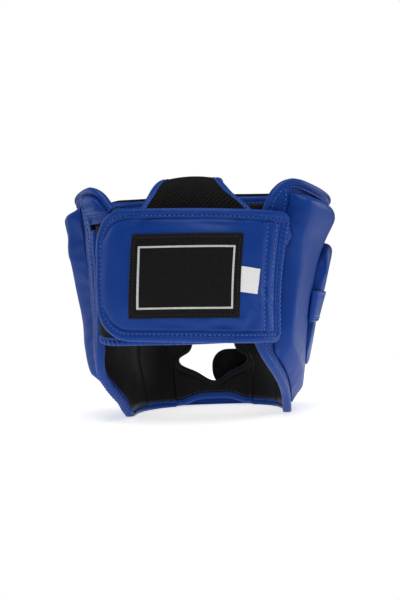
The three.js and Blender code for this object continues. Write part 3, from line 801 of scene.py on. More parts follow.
@dataclass(frozen=True)
class Inflation:
    """Cloth simulation that swells a sewn cover over its foam."""

    frames: int = 14
    quality: int = 5
    mass: float = 0.25
    pressure: float = 4.0
    stiffness: float = 12.0
    bending: float = 0.6
    slack: float = 0.02
    cap: float = 2.2

    def swell(self, cover: bpy.types.Object, sewn: Array) -> None:
        """Swells a cover whose sewn points are held.

        Args:
            cover: The closed mesh of the cover.
            sewn: For each point, whether it is held.
        """
        scene = bpy.context.scene
        before = mesh_points(cover.data)
        group = cover.vertex_groups.new(name="sewn")
        group.add(np.flatnonzero(sewn).tolist(), 1.0, "REPLACE")
        cloth = cover.modifiers.new("cover", "CLOTH")
        settings = cloth.settings
        settings.quality = self.quality
        settings.mass = self.mass
        settings.tension_stiffness = self.stiffness
        settings.compression_stiffness = self.stiffness
        settings.bending_stiffness = self.bending
        settings.use_pressure = True
        settings.uniform_pressure_force = self.pressure
        settings.shrink_min = -self.slack
        settings.vertex_group_mass = group.name
        settings.effector_weights.gravity = 0.0
        cloth.collision_settings.use_collision = False
        for number in range(1, self.frames + 1):
            scene.frame_set(number)
        shown = cover.evaluated_get(bpy.context.evaluated_depsgraph_get())
        after = mesh_points(shown.data)
        moved = after - before
        distance = np.linalg.norm(moved, axis=-1, keepdims=True)
        limit = np.minimum(1.0, self.cap * MM / np.maximum(distance, TINY))
        cover.modifiers.remove(cloth)
        cover.vertex_groups.remove(group)
        cover.data.vertices.foreach_set("co", (before + moved * limit).astype(np.float32).reshape(-1))
        cover.data.update()
        scene.frame_set(1)


def mesh_points(mesh: bpy.types.Mesh) -> Array:
    """The points of a mesh."""
    flat = np.zeros(len(mesh.vertices) * 3, np.float32)
    mesh.vertices.foreach_get("co", flat)
    return flat.reshape(-1, 3).astype(float)


@dataclass(frozen=True)
class Stitching:
    """Rows of sewn thread along lines of points."""

    pitch: float = 3.4
    length: float = 2.4
    radius: float = 0.48
    sides: int = 6
    shares: tuple[float, ...] = (0.0, 0.12, 0.5, 0.88, 1.0)
    widths: tuple[float, ...] = (0.35, 0.9, 1.0, 0.9, 0.35)
    lifts: tuple[float, ...] = (-0.9, 0.4, 0.9, 0.4, -0.9)

    def sew(self, parts: MeshParts, points: Array, normals: Array) -> None:
        """Adds a row of stitches.

        Args:
            parts: Mesh that takes the stitches.
            points: Points along the row.
            normals: Outward directions there.
        """
        lengths = arc_lengths(points)
        starts = np.arange((self.pitch - self.length) / 2.0, lengths[-1] - self.length, self.pitch)
        marks = starts[:, None] + np.array(self.shares) * self.length
        centre = along_line(marks, lengths, points)
        out = unit(along_line(marks, lengths, normals))
        beside = unit(np.cross(centre[:, -1:] - centre[:, :1], out))
        turn = np.linspace(0.0, 2.0 * np.pi, self.sides, endpoint=False)
        ring = out[:, :, None] * np.sin(turn)[:, None] + beside[:, :, None] * np.cos(turn)[:, None]
        raised = centre + out * (self.radius * np.array(self.lifts))[:, None]
        thread = raised[:, :, None] + ring * (self.radius * np.array(self.widths))[:, None, None]
        for stitch in thread:
            parts.tube(stitch, closed=False)

    def make(
        self,
        name: str,
        rows: Sequence[tuple[Array, Array]],
        material: Material,
        slot: Slot = Slot.LEATHERETTE,
        side: Side = Side.RIGHT,
    ) -> None:
        """Makes rows of stitches as one piece.

        Args:
            name: Name of the piece.
            rows: Points and outward directions of each row.
            material: The thread.
            slot: The record's slot that its finish comes from.
            side: The wearer's side.
        """
        threads = MeshParts()
        for points, normals in rows:
            self.sew(threads, points, normals)
        dress(threads.build(name, [material], side), slot)


@dataclass(frozen=True)
class FoldedEdge:
    """Leatherette binding folded over an edge and sewn through both faces."""

    width: float = 7.4
    half_thick: float = 3.5
    pucker: float = 0.4
    needle: float = 0.16
    unevenness: float = 0.035
    uneven_length: float = 16.0
    gathers: float = 0.0
    gather_pitch: float = 4.6
    gather_twist: float = 0.09
    gather_span: Pair = (0.0, 1000.0)
    gather_fade: float = 12.0
    gather_change: float = 0.3
    gather_change_length: float = 30.0
    stitching: Stitching = Stitching()
    beside: tuple[float, ...] = (0.0, 0.03, 0.1, 0.22, 0.4, 0.57, 0.69, 0.77, 0.83, 0.92, 1.0, 1.0)
    rise: tuple[float, ...] = (0.0, 0.38, 0.72, 0.92, 1.0, 0.96, 0.84, 0.6, 0.82, 0.87, 0.8, 0.3)
    groove: int = 7
    groove_reach: float = 1.3
    lined: bool = False
    faces: tuple[int, ...] = (1,)

    def fold(
        self, parts: MeshParts, place: PlaceOnEdge, arcs: Array, seed: int, closed: bool = False
    ) -> None:
        """Adds the binding along an edge.

        Args:
            parts: Mesh that takes the binding.
            place: Gives the points along the edge at a distance in from it and a rise from its middle.
            arcs: Distance of each point along the edge.
            seed: Seed of its unevenness.
            closed: Whether the edge runs back to its start.
        """
        needle = needle_marks(arcs, self.stitching.pitch, self.needle)
        body = 1.0 + self.unevenness * ripple(arcs, self.uneven_length, seed)
        first, last = self.gather_span
        fade = self.gather_fade
        drawn_in = smooth_step((arcs - first) / fade) * smooth_step((last - arcs) / fade)
        change = self.gather_change * ripple(arcs, self.gather_change_length, seed + 1)
        drawn_in = drawn_in * (1.0 - self.gather_change + change)
        sides = []
        for sign in (1.0, -1.0):
            half = []
            for number, (beside, rise) in enumerate(zip(self.beside, self.rise)):
                near = bell(number - self.groove, self.groove_reach)
                gather = np.sin(2.0 * np.pi * (arcs / self.gather_pitch + self.gather_twist * number))
                fullness = body + self.gathers * drawn_in * gather * (1.0 - near)
                shape = rise * fullness - self.pucker * near * needle
                half.append(place(beside * self.width, sign * shape * self.half_thick))
            sides.append(half)
        rings = np.stack(sides[0][::-1] + sides[1][1:], axis=1)
        rings[..., 2] = np.maximum(rings[..., 2], 0.0)
        parts.tube(rings, closed, len(self.beside) if self.lined else None)

    def sew(self, parts: MeshParts, place: PlaceOnEdge, arcs: Array) -> None:
        """Sews the binding's groove on its outer face, 1, and its inner one, -1, as it has them."""
        beside = self.beside[self.groove] * self.width
        rise = np.ones_like(arcs) * self.rise[self.groove] * self.half_thick
        for face in self.faces:
            points = place(beside, face * rise)
            self.stitching.sew(parts, points, place(beside, face * (rise + 1.0)) - points)

    def make(
        self,
        name: str,
        place: PlaceOnEdge,
        arcs: Array,
        seed: int,
        finishes: Finishes,
        side: Side = Side.RIGHT,
        closed: bool = False,
    ) -> None:
        """Makes the binding and its stitches, as two pieces.

        Args:
            name: Name of the binding and of the node it stands for.
            place: As for fold.
            arcs: As for fold.
            seed: As for fold.
            finishes: The materials.
            side: The wearer's side.
            closed: Whether the edge runs back to its start.
        """
        parts, threads = MeshParts(), MeshParts()
        self.fold(parts, place, arcs, seed, closed)
        materials = [finishes.leatherette, finishes.lining] if self.lined else [finishes.leatherette]
        dress(parts.build(name, materials, side), Slot.LEATHERETTE, name)
        self.sew(threads, place, arcs)
        dress(threads.build(f"{name}_stitches", [finishes.blue_thread], side), Slot.LEATHERETTE)


PANEL_MIDDLE = -2.5
FIRST_HEIGHT = 100.0
PATCH_ROUNDS = 10


def bound_edge(line: EdgeLine, middle: Values = PANEL_MIDDLE, side: Side = Side.RIGHT) -> PlaceOnEdge:
    """Places of a binding on an edge, by the distance in and the rise from the panel's middle."""

    def place(beside: float, rise: Array) -> Array:
        """Points along the edge."""
        return line.moved(beside).on_shell(middle + rise, side)

    return place


def level(value: float) -> Edge:
    """An edge at one value all along."""
    return lambda key: np.full(np.shape(key), value, float)


def even_steps(count: int) -> Array:
    """Shares from 0 to 1 in even steps."""
    return np.linspace(0.0, 1.0, count)


def patch(start: Edge, end: Edge, low: Edge, high: Edge, shares: Array, heights: Array) -> Grid:
    """Angles and heights of a grid between four edges.

    Args:
        start: Angle of the rear edge at a height.
        end: Angle of the front edge at a height.
        low: Height of the lower edge at an angle.
        high: Height of the upper edge at an angle.
        shares: Steps from the rear to the front, 0 to 1.
        heights: Steps from low to high, 0 to 1.

    Returns:
        The grid's angles and its heights.
    """
    s, t = np.meshgrid(shares, heights, indexing="ij")
    z = np.full(s.shape, FIRST_HEIGHT)
    angle = start(z) * (1.0 - s) + end(z) * s
    for _ in range(PATCH_ROUNDS):
        z = low(angle) * (1.0 - t) + high(angle) * t
        angle = start(z) * (1.0 - s) + end(z) * s
    return angle, z


def rim_distances(points: Array) -> tuple[Array, Array, Array, Array]:
    """Distances along a grid of points from its start, end, low and high edge."""
    along = np.linalg.norm(np.diff(points, axis=0), axis=-1)
    across = np.linalg.norm(np.diff(points, axis=1), axis=-1)
    start = np.concatenate([np.zeros((1, points.shape[1])), np.cumsum(along, axis=0)])
    low = np.concatenate([np.zeros((points.shape[0], 1)), np.cumsum(across, axis=1)], axis=1)
    return start, start[-1:] - start, low, low[:, -1:] - low


@dataclass(frozen=True)
class PadCover:
    """Foam pad under a sewn cover: flat face, rims rounded or bevelled at start, end, low and high."""

    size: Pair
    radii: tuple[float, float, float, float]
    bevels: tuple[int, ...] = ()
    lip: float = 0.9
    step: float = 3.6
    fill: float = 0.8
    middle: float = 6.0
    lowest: float = 0.2
    inflation: Inflation = Inflation()

    def grid(self, start: Edge, end: Edge, low: Edge, high: Edge) -> Grid:
        """Angles and heights of the pad's grid between four edges."""
        along = rim_steps(self.size[0], self.radii[0], self.radii[1], self.step)
        across = rim_steps(self.size[1], self.radii[2], self.radii[3], self.step)
        return patch(start, end, low, high, along, across)

    def make(
        self,
        name: str,
        grid: Grid,
        seat: Values,
        thick: Values,
        material: Material,
        side: Side = Side.RIGHT,
        slope: Values = 1.0,
    ) -> None:
        """Makes the pad, swells its cover and puts it on the frame.

        Args:
            name: Name of the piece and of the node it stands for.
            grid: The grid's angles and heights.
            seat: Offset of the pad's underside.
            thick: Offset of its face.
            material: Material of the cover.
            side: The wearer's side.
            slope: Share of the thickness at each point of the grid.
        """
        angle, z = grid
        shell = SHELLS[side]
        middle = shell.place(angle, z, np.full(angle.shape, self.middle))
        full = np.ones(angle.shape) * slope
        for rim, (distance, radius) in enumerate(zip(rim_distances(middle), self.radii)):
            flat = np.clip(distance / radius, 0.0, 1.0)
            full = full * (flat if rim in self.bevels else quarter_round(distance, radius))
        seat = np.broadcast_to(np.asarray(seat, float), angle.shape)
        outer = shell.place(angle, z, seat + self.lip + (thick - seat - self.lip) * full)
        inner = shell.place(angle, z, seat)
        for points in (inner, outer):
            points[..., 2] = np.maximum(points[..., 2], self.lowest)
        parts = MeshParts()
        parts.slab(outer, inner)
        pad = parts.build(name, [material], side)
        face = np.zeros(angle.shape, bool)
        face[1:-1, 1:-1] = True
        self.inflation.swell(pad, np.concatenate([~face.reshape(-1), np.ones(face.size, bool)]))
        subdivide(pad, 1)
        dress(pad, Slot.LEATHERETTE, name, self.fill)


# The shell


@dataclass(frozen=True)
class ShellEdges:
    """Outer edges of the shell, bindings included, each with its panel to the left."""

    spacing: float = 0.8
    nose: float = 90.0
    face_side: float = 92.0
    seam_side: float = 34.0
    seam_chin: float = 60.0
    seam_rear: float = -56.0
    left_rear: float = -38.7
    chin_gap: float = 0.1
    cheek_gap: float = 0.3
    brow_gap: float = 0.15
    right_bound: Rows = (
        (89.8, 179.5), (30, 174.6), (0, 169.8), (-20, 172.2), (-34, 176.3), (-42, 179.4),
        (-47, 180), (-52, 177), (-55.5, 170), (-57, 160.5), (-57.4, 152),
    )
    right_top: Rows = (
        (89.8, 179.5), (30, 175), (0, 172.5), (-22, 176), (-42, 180),
        (-47, 180), (-52, 177), (-55.5, 170), (-57, 160.5),
    )
    left_top: Rows = (
        (89.8, 179.5), (30, 175), (0, 173), (-24, 176.5), (-43, 180), (-50, 175), (-55, 163),
    )
    right_low: Rows = ((-54.5, 64), (-48, 50), (-38, 36), (-20, 17), (0, -2), (12, -2), (59.5, -2))
    left_low: Rows = (
        (-41.8, 148), (-43, 112), (-43, 90), (-41, 62), (-36, 44), (-25, 27), (-10, 10),
        (2, -2), (14, -2), (59.5, -2),
    )
    chin_half: Rows = ((60.8, 0), (66, 0.5), (78, 4.5))
    chin_arch: float = 5.0
    face_half: Rows = (
        (77, 29), (66, 36), (65, 40), (73, 47), (75, 54), (72, 61), (61, 69), (50, 78), (43, 92),
        (46, 107), (60, 116),
    )
    face_low: float = 21.0
    face_high: float = 120.0

    def bound_top(self) -> EdgeLine:
        """Bound upper edge of the right side, which runs straight to the ear and on under the strap."""
        return EdgeLine.through(self.right_bound, self.spacing)

    def top(self, side: Side) -> EdgeLine:
        """Upper edge of a side, from the brow to the rear."""
        return EdgeLine.through(side.pick(self.right_top, self.left_top), self.spacing)

    def low(self, side: Side) -> EdgeLine:
        """Lower edge of a side, from the rear to the chin, with the rear edge at the left."""
        return EdgeLine.through(side.pick(self.right_low, self.left_low), self.spacing)

    def _mirrored(self, half: Rows) -> Rows:
        """Rows of the right half, mirrored to the left one."""
        return [(2.0 * self.nose - angle, z) for angle, z in half[::-1]]

    def chin_low(self) -> EdgeLine:
        """Lower edge of the chin, arched a little."""
        rows = [*self.chin_half, (self.nose, self.chin_arch), *self._mirrored(self.chin_half)]
        return EdgeLine.through(rows, self.spacing)

    def face(self) -> EdgeLine:
        """Edge of the face opening, from the middle of the chin round the right eye."""
        low, high = (self.nose, self.face_low), (self.nose, self.face_high)
        rows = [low, *self.face_half, high, *self._mirrored(self.face_half)]
        return EdgeLine.through(rows, self.spacing, closed=True)

    def beside_face(self, distance: float) -> tuple[Edge, Edge, Edge]:
        """Edges that stay a distance away from the face opening.

        Args:
            distance: How far they stay away.

        Returns:
            The chin's height, the cheek's angle and the brow's height.
        """
        moved = self.face().moved(distance).places
        half = moved[: len(moved) // 2 + 1]
        corner = int(np.flatnonzero(np.diff(half[:, 0]) > 0)[0])
        corner_z = float(half[corner, 1])
        after = half[corner:]
        chin = EdgeLine(half[: corner + 1])
        cheek = EdgeLine(after[after[:, 1] < self.face_side])
        brow = EdgeLine(after[after[:, 1] >= self.face_side])

        def fold(angle: Values) -> Array:
            """The angle on the right half."""
            return np.minimum(angle, 2.0 * self.nose - angle)

        def chin_height(angle: Values) -> Array:
            """Height of the chin's upper edge."""
            return np.minimum(chin.height_at(fold(angle)), corner_z - self.chin_gap)

        def cheek_angle(z: Values) -> Array:
            """Angle of the cheek's front edge."""
            return np.where(np.asarray(z) < corner_z, self.seam_chin - self.cheek_gap, cheek.angle_at(z))

        def brow_height(angle: Values) -> Array:
            """Height of the brow's lower edge."""
            return np.maximum(brow.height_at(fold(angle)), self.face_side + self.brow_gap)

        return chin_height, cheek_angle, brow_height

    def both_sides(self, start: float) -> tuple[Edge, Edge]:
        """A start on the right and its mirrored end on the left."""
        return level(start), level(2.0 * self.nose - start)

    def across_brow(self, distance: float) -> Edge:
        """Upper edge of the brow, a distance below the shell's edge."""
        top = self.top(Side.RIGHT).moved(distance)
        return lambda angle: top.height_at(np.minimum(angle, 2.0 * self.nose - angle))


EDGES = ShellEdges()


@dataclass
class ShellPanels:
    """Panels of the shell: leatherette outside, lining over soft foam inside."""

    finishes: Finishes
    thick: float = 5.0
    puff: float = 0.6
    rim_puff: float = 0.75
    soft_rim: float = 9.0
    margin: float = 5.0
    face_margin: float = 4.6
    cheek_low: float = 4.6
    gap: float = 0.03
    lowest: float = 0.3
    fill: float = 0.5
    right_row: Rows = ((-49.4, 173), (-48.4, 165), (-46.8, 150), (-45.6, 138))
    left_row: Rows = ((-34.5, 150), (-37, 118), (-38.6, 96))
    row_spacing: float = 0.8
    row_lift: float = 0.1

    def _panel(self, name: str, grid: Grid, side: Side = Side.RIGHT) -> None:
        """Makes a panel from its grid of angles and heights."""
        angle, z = grid
        shell = SHELLS[side]
        outer = shell.place(angle, z, np.zeros(angle.shape))
        nearest = np.minimum.reduce(rim_distances(outer))
        full = self.rim_puff + (1.0 - self.rim_puff) * smooth_step(nearest / self.soft_rim)
        inner = shell.place(angle, z, -self.thick - self.puff * full)
        for points in (outer, inner):
            points[..., 2] = np.maximum(points[..., 2], self.lowest)
        parts = MeshParts()
        parts.slab(outer, inner, inner_finish=1, rim_finish=1)
        made = parts.build(name, [self.finishes.leatherette, self.finishes.lining], side)
        dress(made, Slot.LINING, name, self.fill)

    def _row(self, side: Side) -> None:
        """Sews the row of stitches beside the rear edge of a side pad."""
        line = EdgeLine.through(side.pick(self.right_row, self.left_row), self.row_spacing)
        row = line.on_shell(self.row_lift, side), SHELLS[side].normal(*line.places.T)
        Stitching().make(side.of("side_panel_stitches"), [row], self.finishes.blue_thread, side=side)

    def build(self) -> None:
        """Makes the six panels and their rows of stitches."""
        chin, cheek, brow = EDGES.beside_face(self.face_margin)
        tall = even_steps(36)
        side_end = level(EDGES.seam_side - self.gap)
        for side in Side:
            rear = level(side.pick(EDGES.seam_rear, EDGES.left_rear))
            low = EDGES.low(side).moved(self.margin).height_at
            high = EDGES.top(side).moved(self.margin).height_at
            self._panel(side.of("side_panel"), patch(rear, side_end, low, high, even_steps(42), tall), side)
        front = EDGES.seam_side + self.gap
        high = EDGES.across_brow(self.margin)
        grid = patch(*EDGES.both_sides(front), brow, high, even_steps(64), tall[::2])
        self._panel("forehead_panel", grid)
        high = level(EDGES.face_side)
        cheeks = patch(level(front), cheek, level(self.cheek_low), high, even_steps(16), tall)
        for side in Side:
            self._panel(side.of("cheek_panel"), cheeks, side)
        seam = EDGES.seam_chin + self.gap
        low = EDGES.chin_low().moved(self.margin).height_at
        self._panel("chin_panel", patch(*EDGES.both_sides(seam), low, chin, even_steps(48), tall[::4]))
        for side in Side:
            self._row(side)


@dataclass
class OuterPads:
    """Foam pads on the outside of the shell."""

    finishes: Finishes
    seat: float = 0.3
    gap: float = 0.3
    low_margin: float = 10.0
    high_margin: float = 11.0
    face_margin: float = 8.3
    forehead_thick: float = 19.5
    cheek_thick: float = 10.5
    cheek_low: float = 10.0
    chin_thick: float = 8.6
    chin_seat: float = 1.7
    chin_low: float = 0.4
    right_thick: Table = Table((0, 40, 70, 100, 130, 150, 180), (7.5, 10.5, 12.1, 13.4, 13.4, 14.5, 15.0))
    left_thick: Table = Table((0, 40, 70, 100, 130, 150, 180), (7.5, 12, 15.5, 18, 14.8, 11.6, 11.2))
    right_rear: Table = Table((20, 57, 99, 120, 143, 170), (-36.5, -41, -42, -42.3, -44.3, -47))
    right_ridge: Table = Table((20, 57, 99, 120, 143, 170), (-32, -38, -39, -39.3, -41.6, -44.8))
    left_rear: Table = Table((20, 70, 100, 128, 150, 170), (-20, -21, -21.5, -25, -28.5, -31))
    left_ridge: Table = Table((20, 70, 100, 128, 150, 170), (-16, -17, -17.5, -20.5, -23.5, -26))
    side_cover: PadCover = PadCover(
        (115.0, 150.0), (1.5, 8.0, 13.0, 6.0), bevels=(2,), step=2.6, inflation=Inflation(cap=0.8)
    )
    forehead_cover: PadCover = PadCover((200.0, 55.0), (11.0, 11.0, 10.0, 9.0))
    cheek_cover: PadCover = PadCover(
        (45.0, 82.0), (7.0, 7.0, 8.0, 6.0), step=3.2, inflation=Inflation(cap=1.4)
    )
    chin_cover: PadCover = PadCover(
        (90.0, 30.0), (7.0, 7.0, 7.0, 7.0), step=3.2, inflation=Inflation(cap=1.4)
    )

    def side_thick(self, side: Side, z: Array) -> Array:
        """Offset of a side pad's face at a height."""
        return side.pick(self.right_thick, self.left_thick).at(z)

    def _side(self, side: Side) -> None:
        """Makes a side pad, with a slope from its leaning rear edge up to a ridge."""
        low = EDGES.low(side).moved(self.low_margin).height_at
        high = EDGES.top(side).moved(self.high_margin).height_at
        rear = side.pick(self.right_rear, self.left_rear).at
        ridge = side.pick(self.right_ridge, self.left_ridge).at
        grid = self.side_cover.grid(rear, level(EDGES.seam_side - self.gap), low, high)
        angle, z = grid
        slope = np.clip((angle - rear(z)) / (ridge(z) - rear(z)), 0.0, 1.0)
        thick = self.side_thick(side, z)
        name = side.of("side_pad")
        self.side_cover.make(name, grid, self.seat, thick, self.finishes.leatherette, side, slope)

    def _plain(
        self, name: str, cover: PadCover, edges: Sequence[Edge], offsets: Pair, side: Side = Side.RIGHT
    ) -> None:
        """Makes a pad of one thickness between four edges, from the offset of its seat to its face's."""
        cover.make(name, cover.grid(*edges), *offsets, self.finishes.leatherette, side)

    def build(self) -> None:
        """Makes the six pads."""
        chin, cheek, brow = EDGES.beside_face(self.face_margin)
        start = EDGES.seam_side + self.gap
        edges = level(start), cheek, level(self.cheek_low), level(EDGES.face_side)
        offsets = self.seat, self.cheek_thick
        for side in Side:
            self._side(side)
            self._plain(side.of("cheek_pad"), self.cheek_cover, edges, offsets, side)
        edges = *EDGES.both_sides(start), brow, EDGES.across_brow(self.high_margin)
        self._plain("forehead_pad", self.forehead_cover, edges, (self.seat, self.forehead_thick))
        edges = *EDGES.both_sides(EDGES.seam_chin + self.gap), level(self.chin_low), chin
        self._plain("chin_pad", self.chin_cover, edges, (self.chin_seat, self.chin_thick))


def rounded_ends(
    start: float, end: float, low: float, high: float, start_radius: float, end_radius: float
) -> tuple[Edge, Edge]:
    """Lower and upper edge of a patch whose ends are rounded off.

    Args:
        start: Angle of the first end.
        end: Angle of the other end.
        low: Height of the lower edge.
        high: Height of the upper edge.
        start_radius: Radius of the corners at the first end.
        end_radius: Radius of the corners at the other end.

    Returns:
        The lower and the upper edge, as heights at an angle.
    """
    scale = float(SHELL.degree_length((start + end) / 2.0, (low + high) / 2.0))

    def drop(distance: Values, radius: float) -> Array:
        """How far a rounded corner falls short at a distance from its end."""
        short = np.clip(radius - np.asarray(distance), 0.0, radius)
        return radius - np.sqrt(np.maximum(radius**2 - short**2, 0.0))

    def inset(angle: Values) -> Array:
        """How far both corners fall short at an angle."""
        ahead = drop((np.asarray(angle) - start) * scale, start_radius)
        return ahead + drop((end - np.asarray(angle)) * scale, end_radius)

    return (lambda angle: low + inset(angle)), (lambda angle: high - inset(angle))


@dataclass
class EarGuards:
    """Ear pads on the side pads, each under a keeper band."""

    finishes: Finishes
    pads: OuterPads
    right_start: float = -13.0
    left_start: float = -7.0
    end: float = 27.0
    low: float = 38.0
    high: float = 138.0
    corner: float = 24.0
    right_depth: Table = Table(
        (38, 50, 62, 73, 86, 99, 112, 138), (2.0, 2.9, 3.8, 4.6, 6.2, 7.6, 8.1, 8.0)
    )
    left_depth: Table = Table(
        (38, 58, 66, 73, 86, 99, 106, 114, 138), (5.5, 5.5, 4.7, 1.8, 0.3, 1.8, 4.7, 5.5, 5.5)
    )
    cover: PadCover = PadCover((64.0, 96.0), (8.0, 8.0, 8.0, 8.0), step=3.2, inflation=Inflation(cap=1.2))
    clearance: float = 0.6
    band_reach: float = 5.0
    band_end: float = 32.0
    band_low: float = 73.0
    band_high: float = 99.0
    band_thick: float = 2.0
    band_rim: float = 1.6
    band_step: float = 1.2
    rim_thick: float = 1.0
    bridge_rise: float = 0.6
    band_clearance: float = 0.5
    hem: float = 3.2
    hem_width: float = 0.8
    hem_depth: float = 0.5

    def _seat(self, side: Side, z: Array) -> Array:
        """Offset of an ear pad's underside."""
        return self.pads.side_thick(side, z) + self.clearance

    def _start(self, side: Side) -> float:
        """Angle of an ear pad's rear edge."""
        return side.pick(self.right_start, self.left_start)

    def _depth(self, side: Side, z: Array) -> Array:
        """Thickness of an ear pad, which its band draws in."""
        return side.pick(self.right_depth, self.left_depth).at(z)

    def _pad(self, side: Side) -> None:
        """Makes an ear pad."""
        start = self._start(side)
        ends = rounded_ends(start, self.end, self.low, self.high, self.corner, self.corner)
        grid = self.cover.grid(level(start), level(self.end), *ends)
        seat = self._seat(side, grid[1])
        face = seat + self._depth(side, grid[1])
        self.cover.make(side.of("ear_pad"), grid, seat, face, self.finishes.leatherette, side)

    def _lift(self, side: Side, angle: Array, z: Array) -> Array:
        """Offset of the band's underside, which bridges the ear pad."""
        start = self._start(side) - self.band_reach
        middle = (start + self.band_end) / 2.0
        reach = (self.band_end - start) / 2.0
        share = np.minimum(np.abs(angle - middle) / reach, 1.0)
        bridge = (self._depth(side, z) + self.bridge_rise) * np.sqrt(1.0 - share**4)
        return self._seat(side, z) + bridge + self.band_clearance

    def _band(self, side: Side) -> None:
        """Makes a keeper band with a stitched hem on both edges."""
        across = rim_steps(self.band_high - self.band_low, self.band_rim, self.band_rim, self.band_step)
        start = self._start(side) - self.band_reach
        ends = level(start), level(self.band_end)
        angle, z = patch(*ends, level(self.band_low), level(self.band_high), even_steps(61), across)
        lift = self._lift(side, angle, z)
        edge = np.minimum(z - self.band_low, self.band_high - z)
        rim = (self.band_thick - self.rim_thick) * quarter_round(edge, self.band_rim)
        face = lift + self.rim_thick + rim - self.hem_depth * bell(edge - self.hem, self.hem_width)
        parts = MeshParts()
        shell = SHELLS[side]
        parts.slab(shell.place(angle, z, face), shell.place(angle, z, lift))
        name = side.of("ear_band")
        dress(parts.build(name, [self.finishes.leatherette], side, smoothing=1), Slot.LEATHERETTE, name)
        run = np.linspace(start + 1.0, self.band_end - 1.0, 90)
        rows = []
        for height in (self.band_low + self.hem, self.band_high - self.hem):
            heights = np.full(run.shape, height)
            offset = self._lift(side, run, heights) + self.band_thick - self.hem_depth
            rows.append((shell.place(run, heights, offset), shell.normal(run, heights)))
        Stitching().make(f"{name}_stitches", rows, self.finishes.blue_thread, side=side)

    def build(self) -> None:
        """Makes both ear pads and their bands."""
        for side in Side:
            self._pad(side)
            self._band(side)


# The back


@dataclass(frozen=True)
class Crease:
    """Soft crease in a cover: its middle, its half length and direction, its width and depth."""

    angle: float
    height: float
    half_length: float
    turn: float
    width: float
    depth: float
    swell: float = 0.6
    swell_place: float = 1.8

    def relief(self, x: Array, z: Array) -> Array:
        """How far the cover is pushed in, at distances along and up from the crease's middle."""
        turn = math.radians(self.turn)
        lengthwise = x * math.cos(turn) + z * math.sin(turn)
        crosswise = z * math.cos(turn) - x * math.sin(turn)
        swell = self.swell * bell(crosswise - self.swell_place * self.width, self.width)
        return self.depth * bell(lengthwise, self.half_length) * (bell(crosswise, self.width) - swell)


@dataclass(frozen=True)
class CornerFold:
    """Small fold of binding that stands out at the strap's upper right corner."""

    drop: float = 9.0
    height: float = 15.0
    peak: float = 0.6
    tip_loss: float = 0.7
    behind: float = 1.2
    least: float = 1.3
    most: float = 2.9
    seat: float = 7.4
    crown: float = 1.6
    roundness: float = 0.9
    wrinkle: float = 0.3
    wrinkle_turns: Pair = (9.0, 4.0)
    thick: float = 1.9


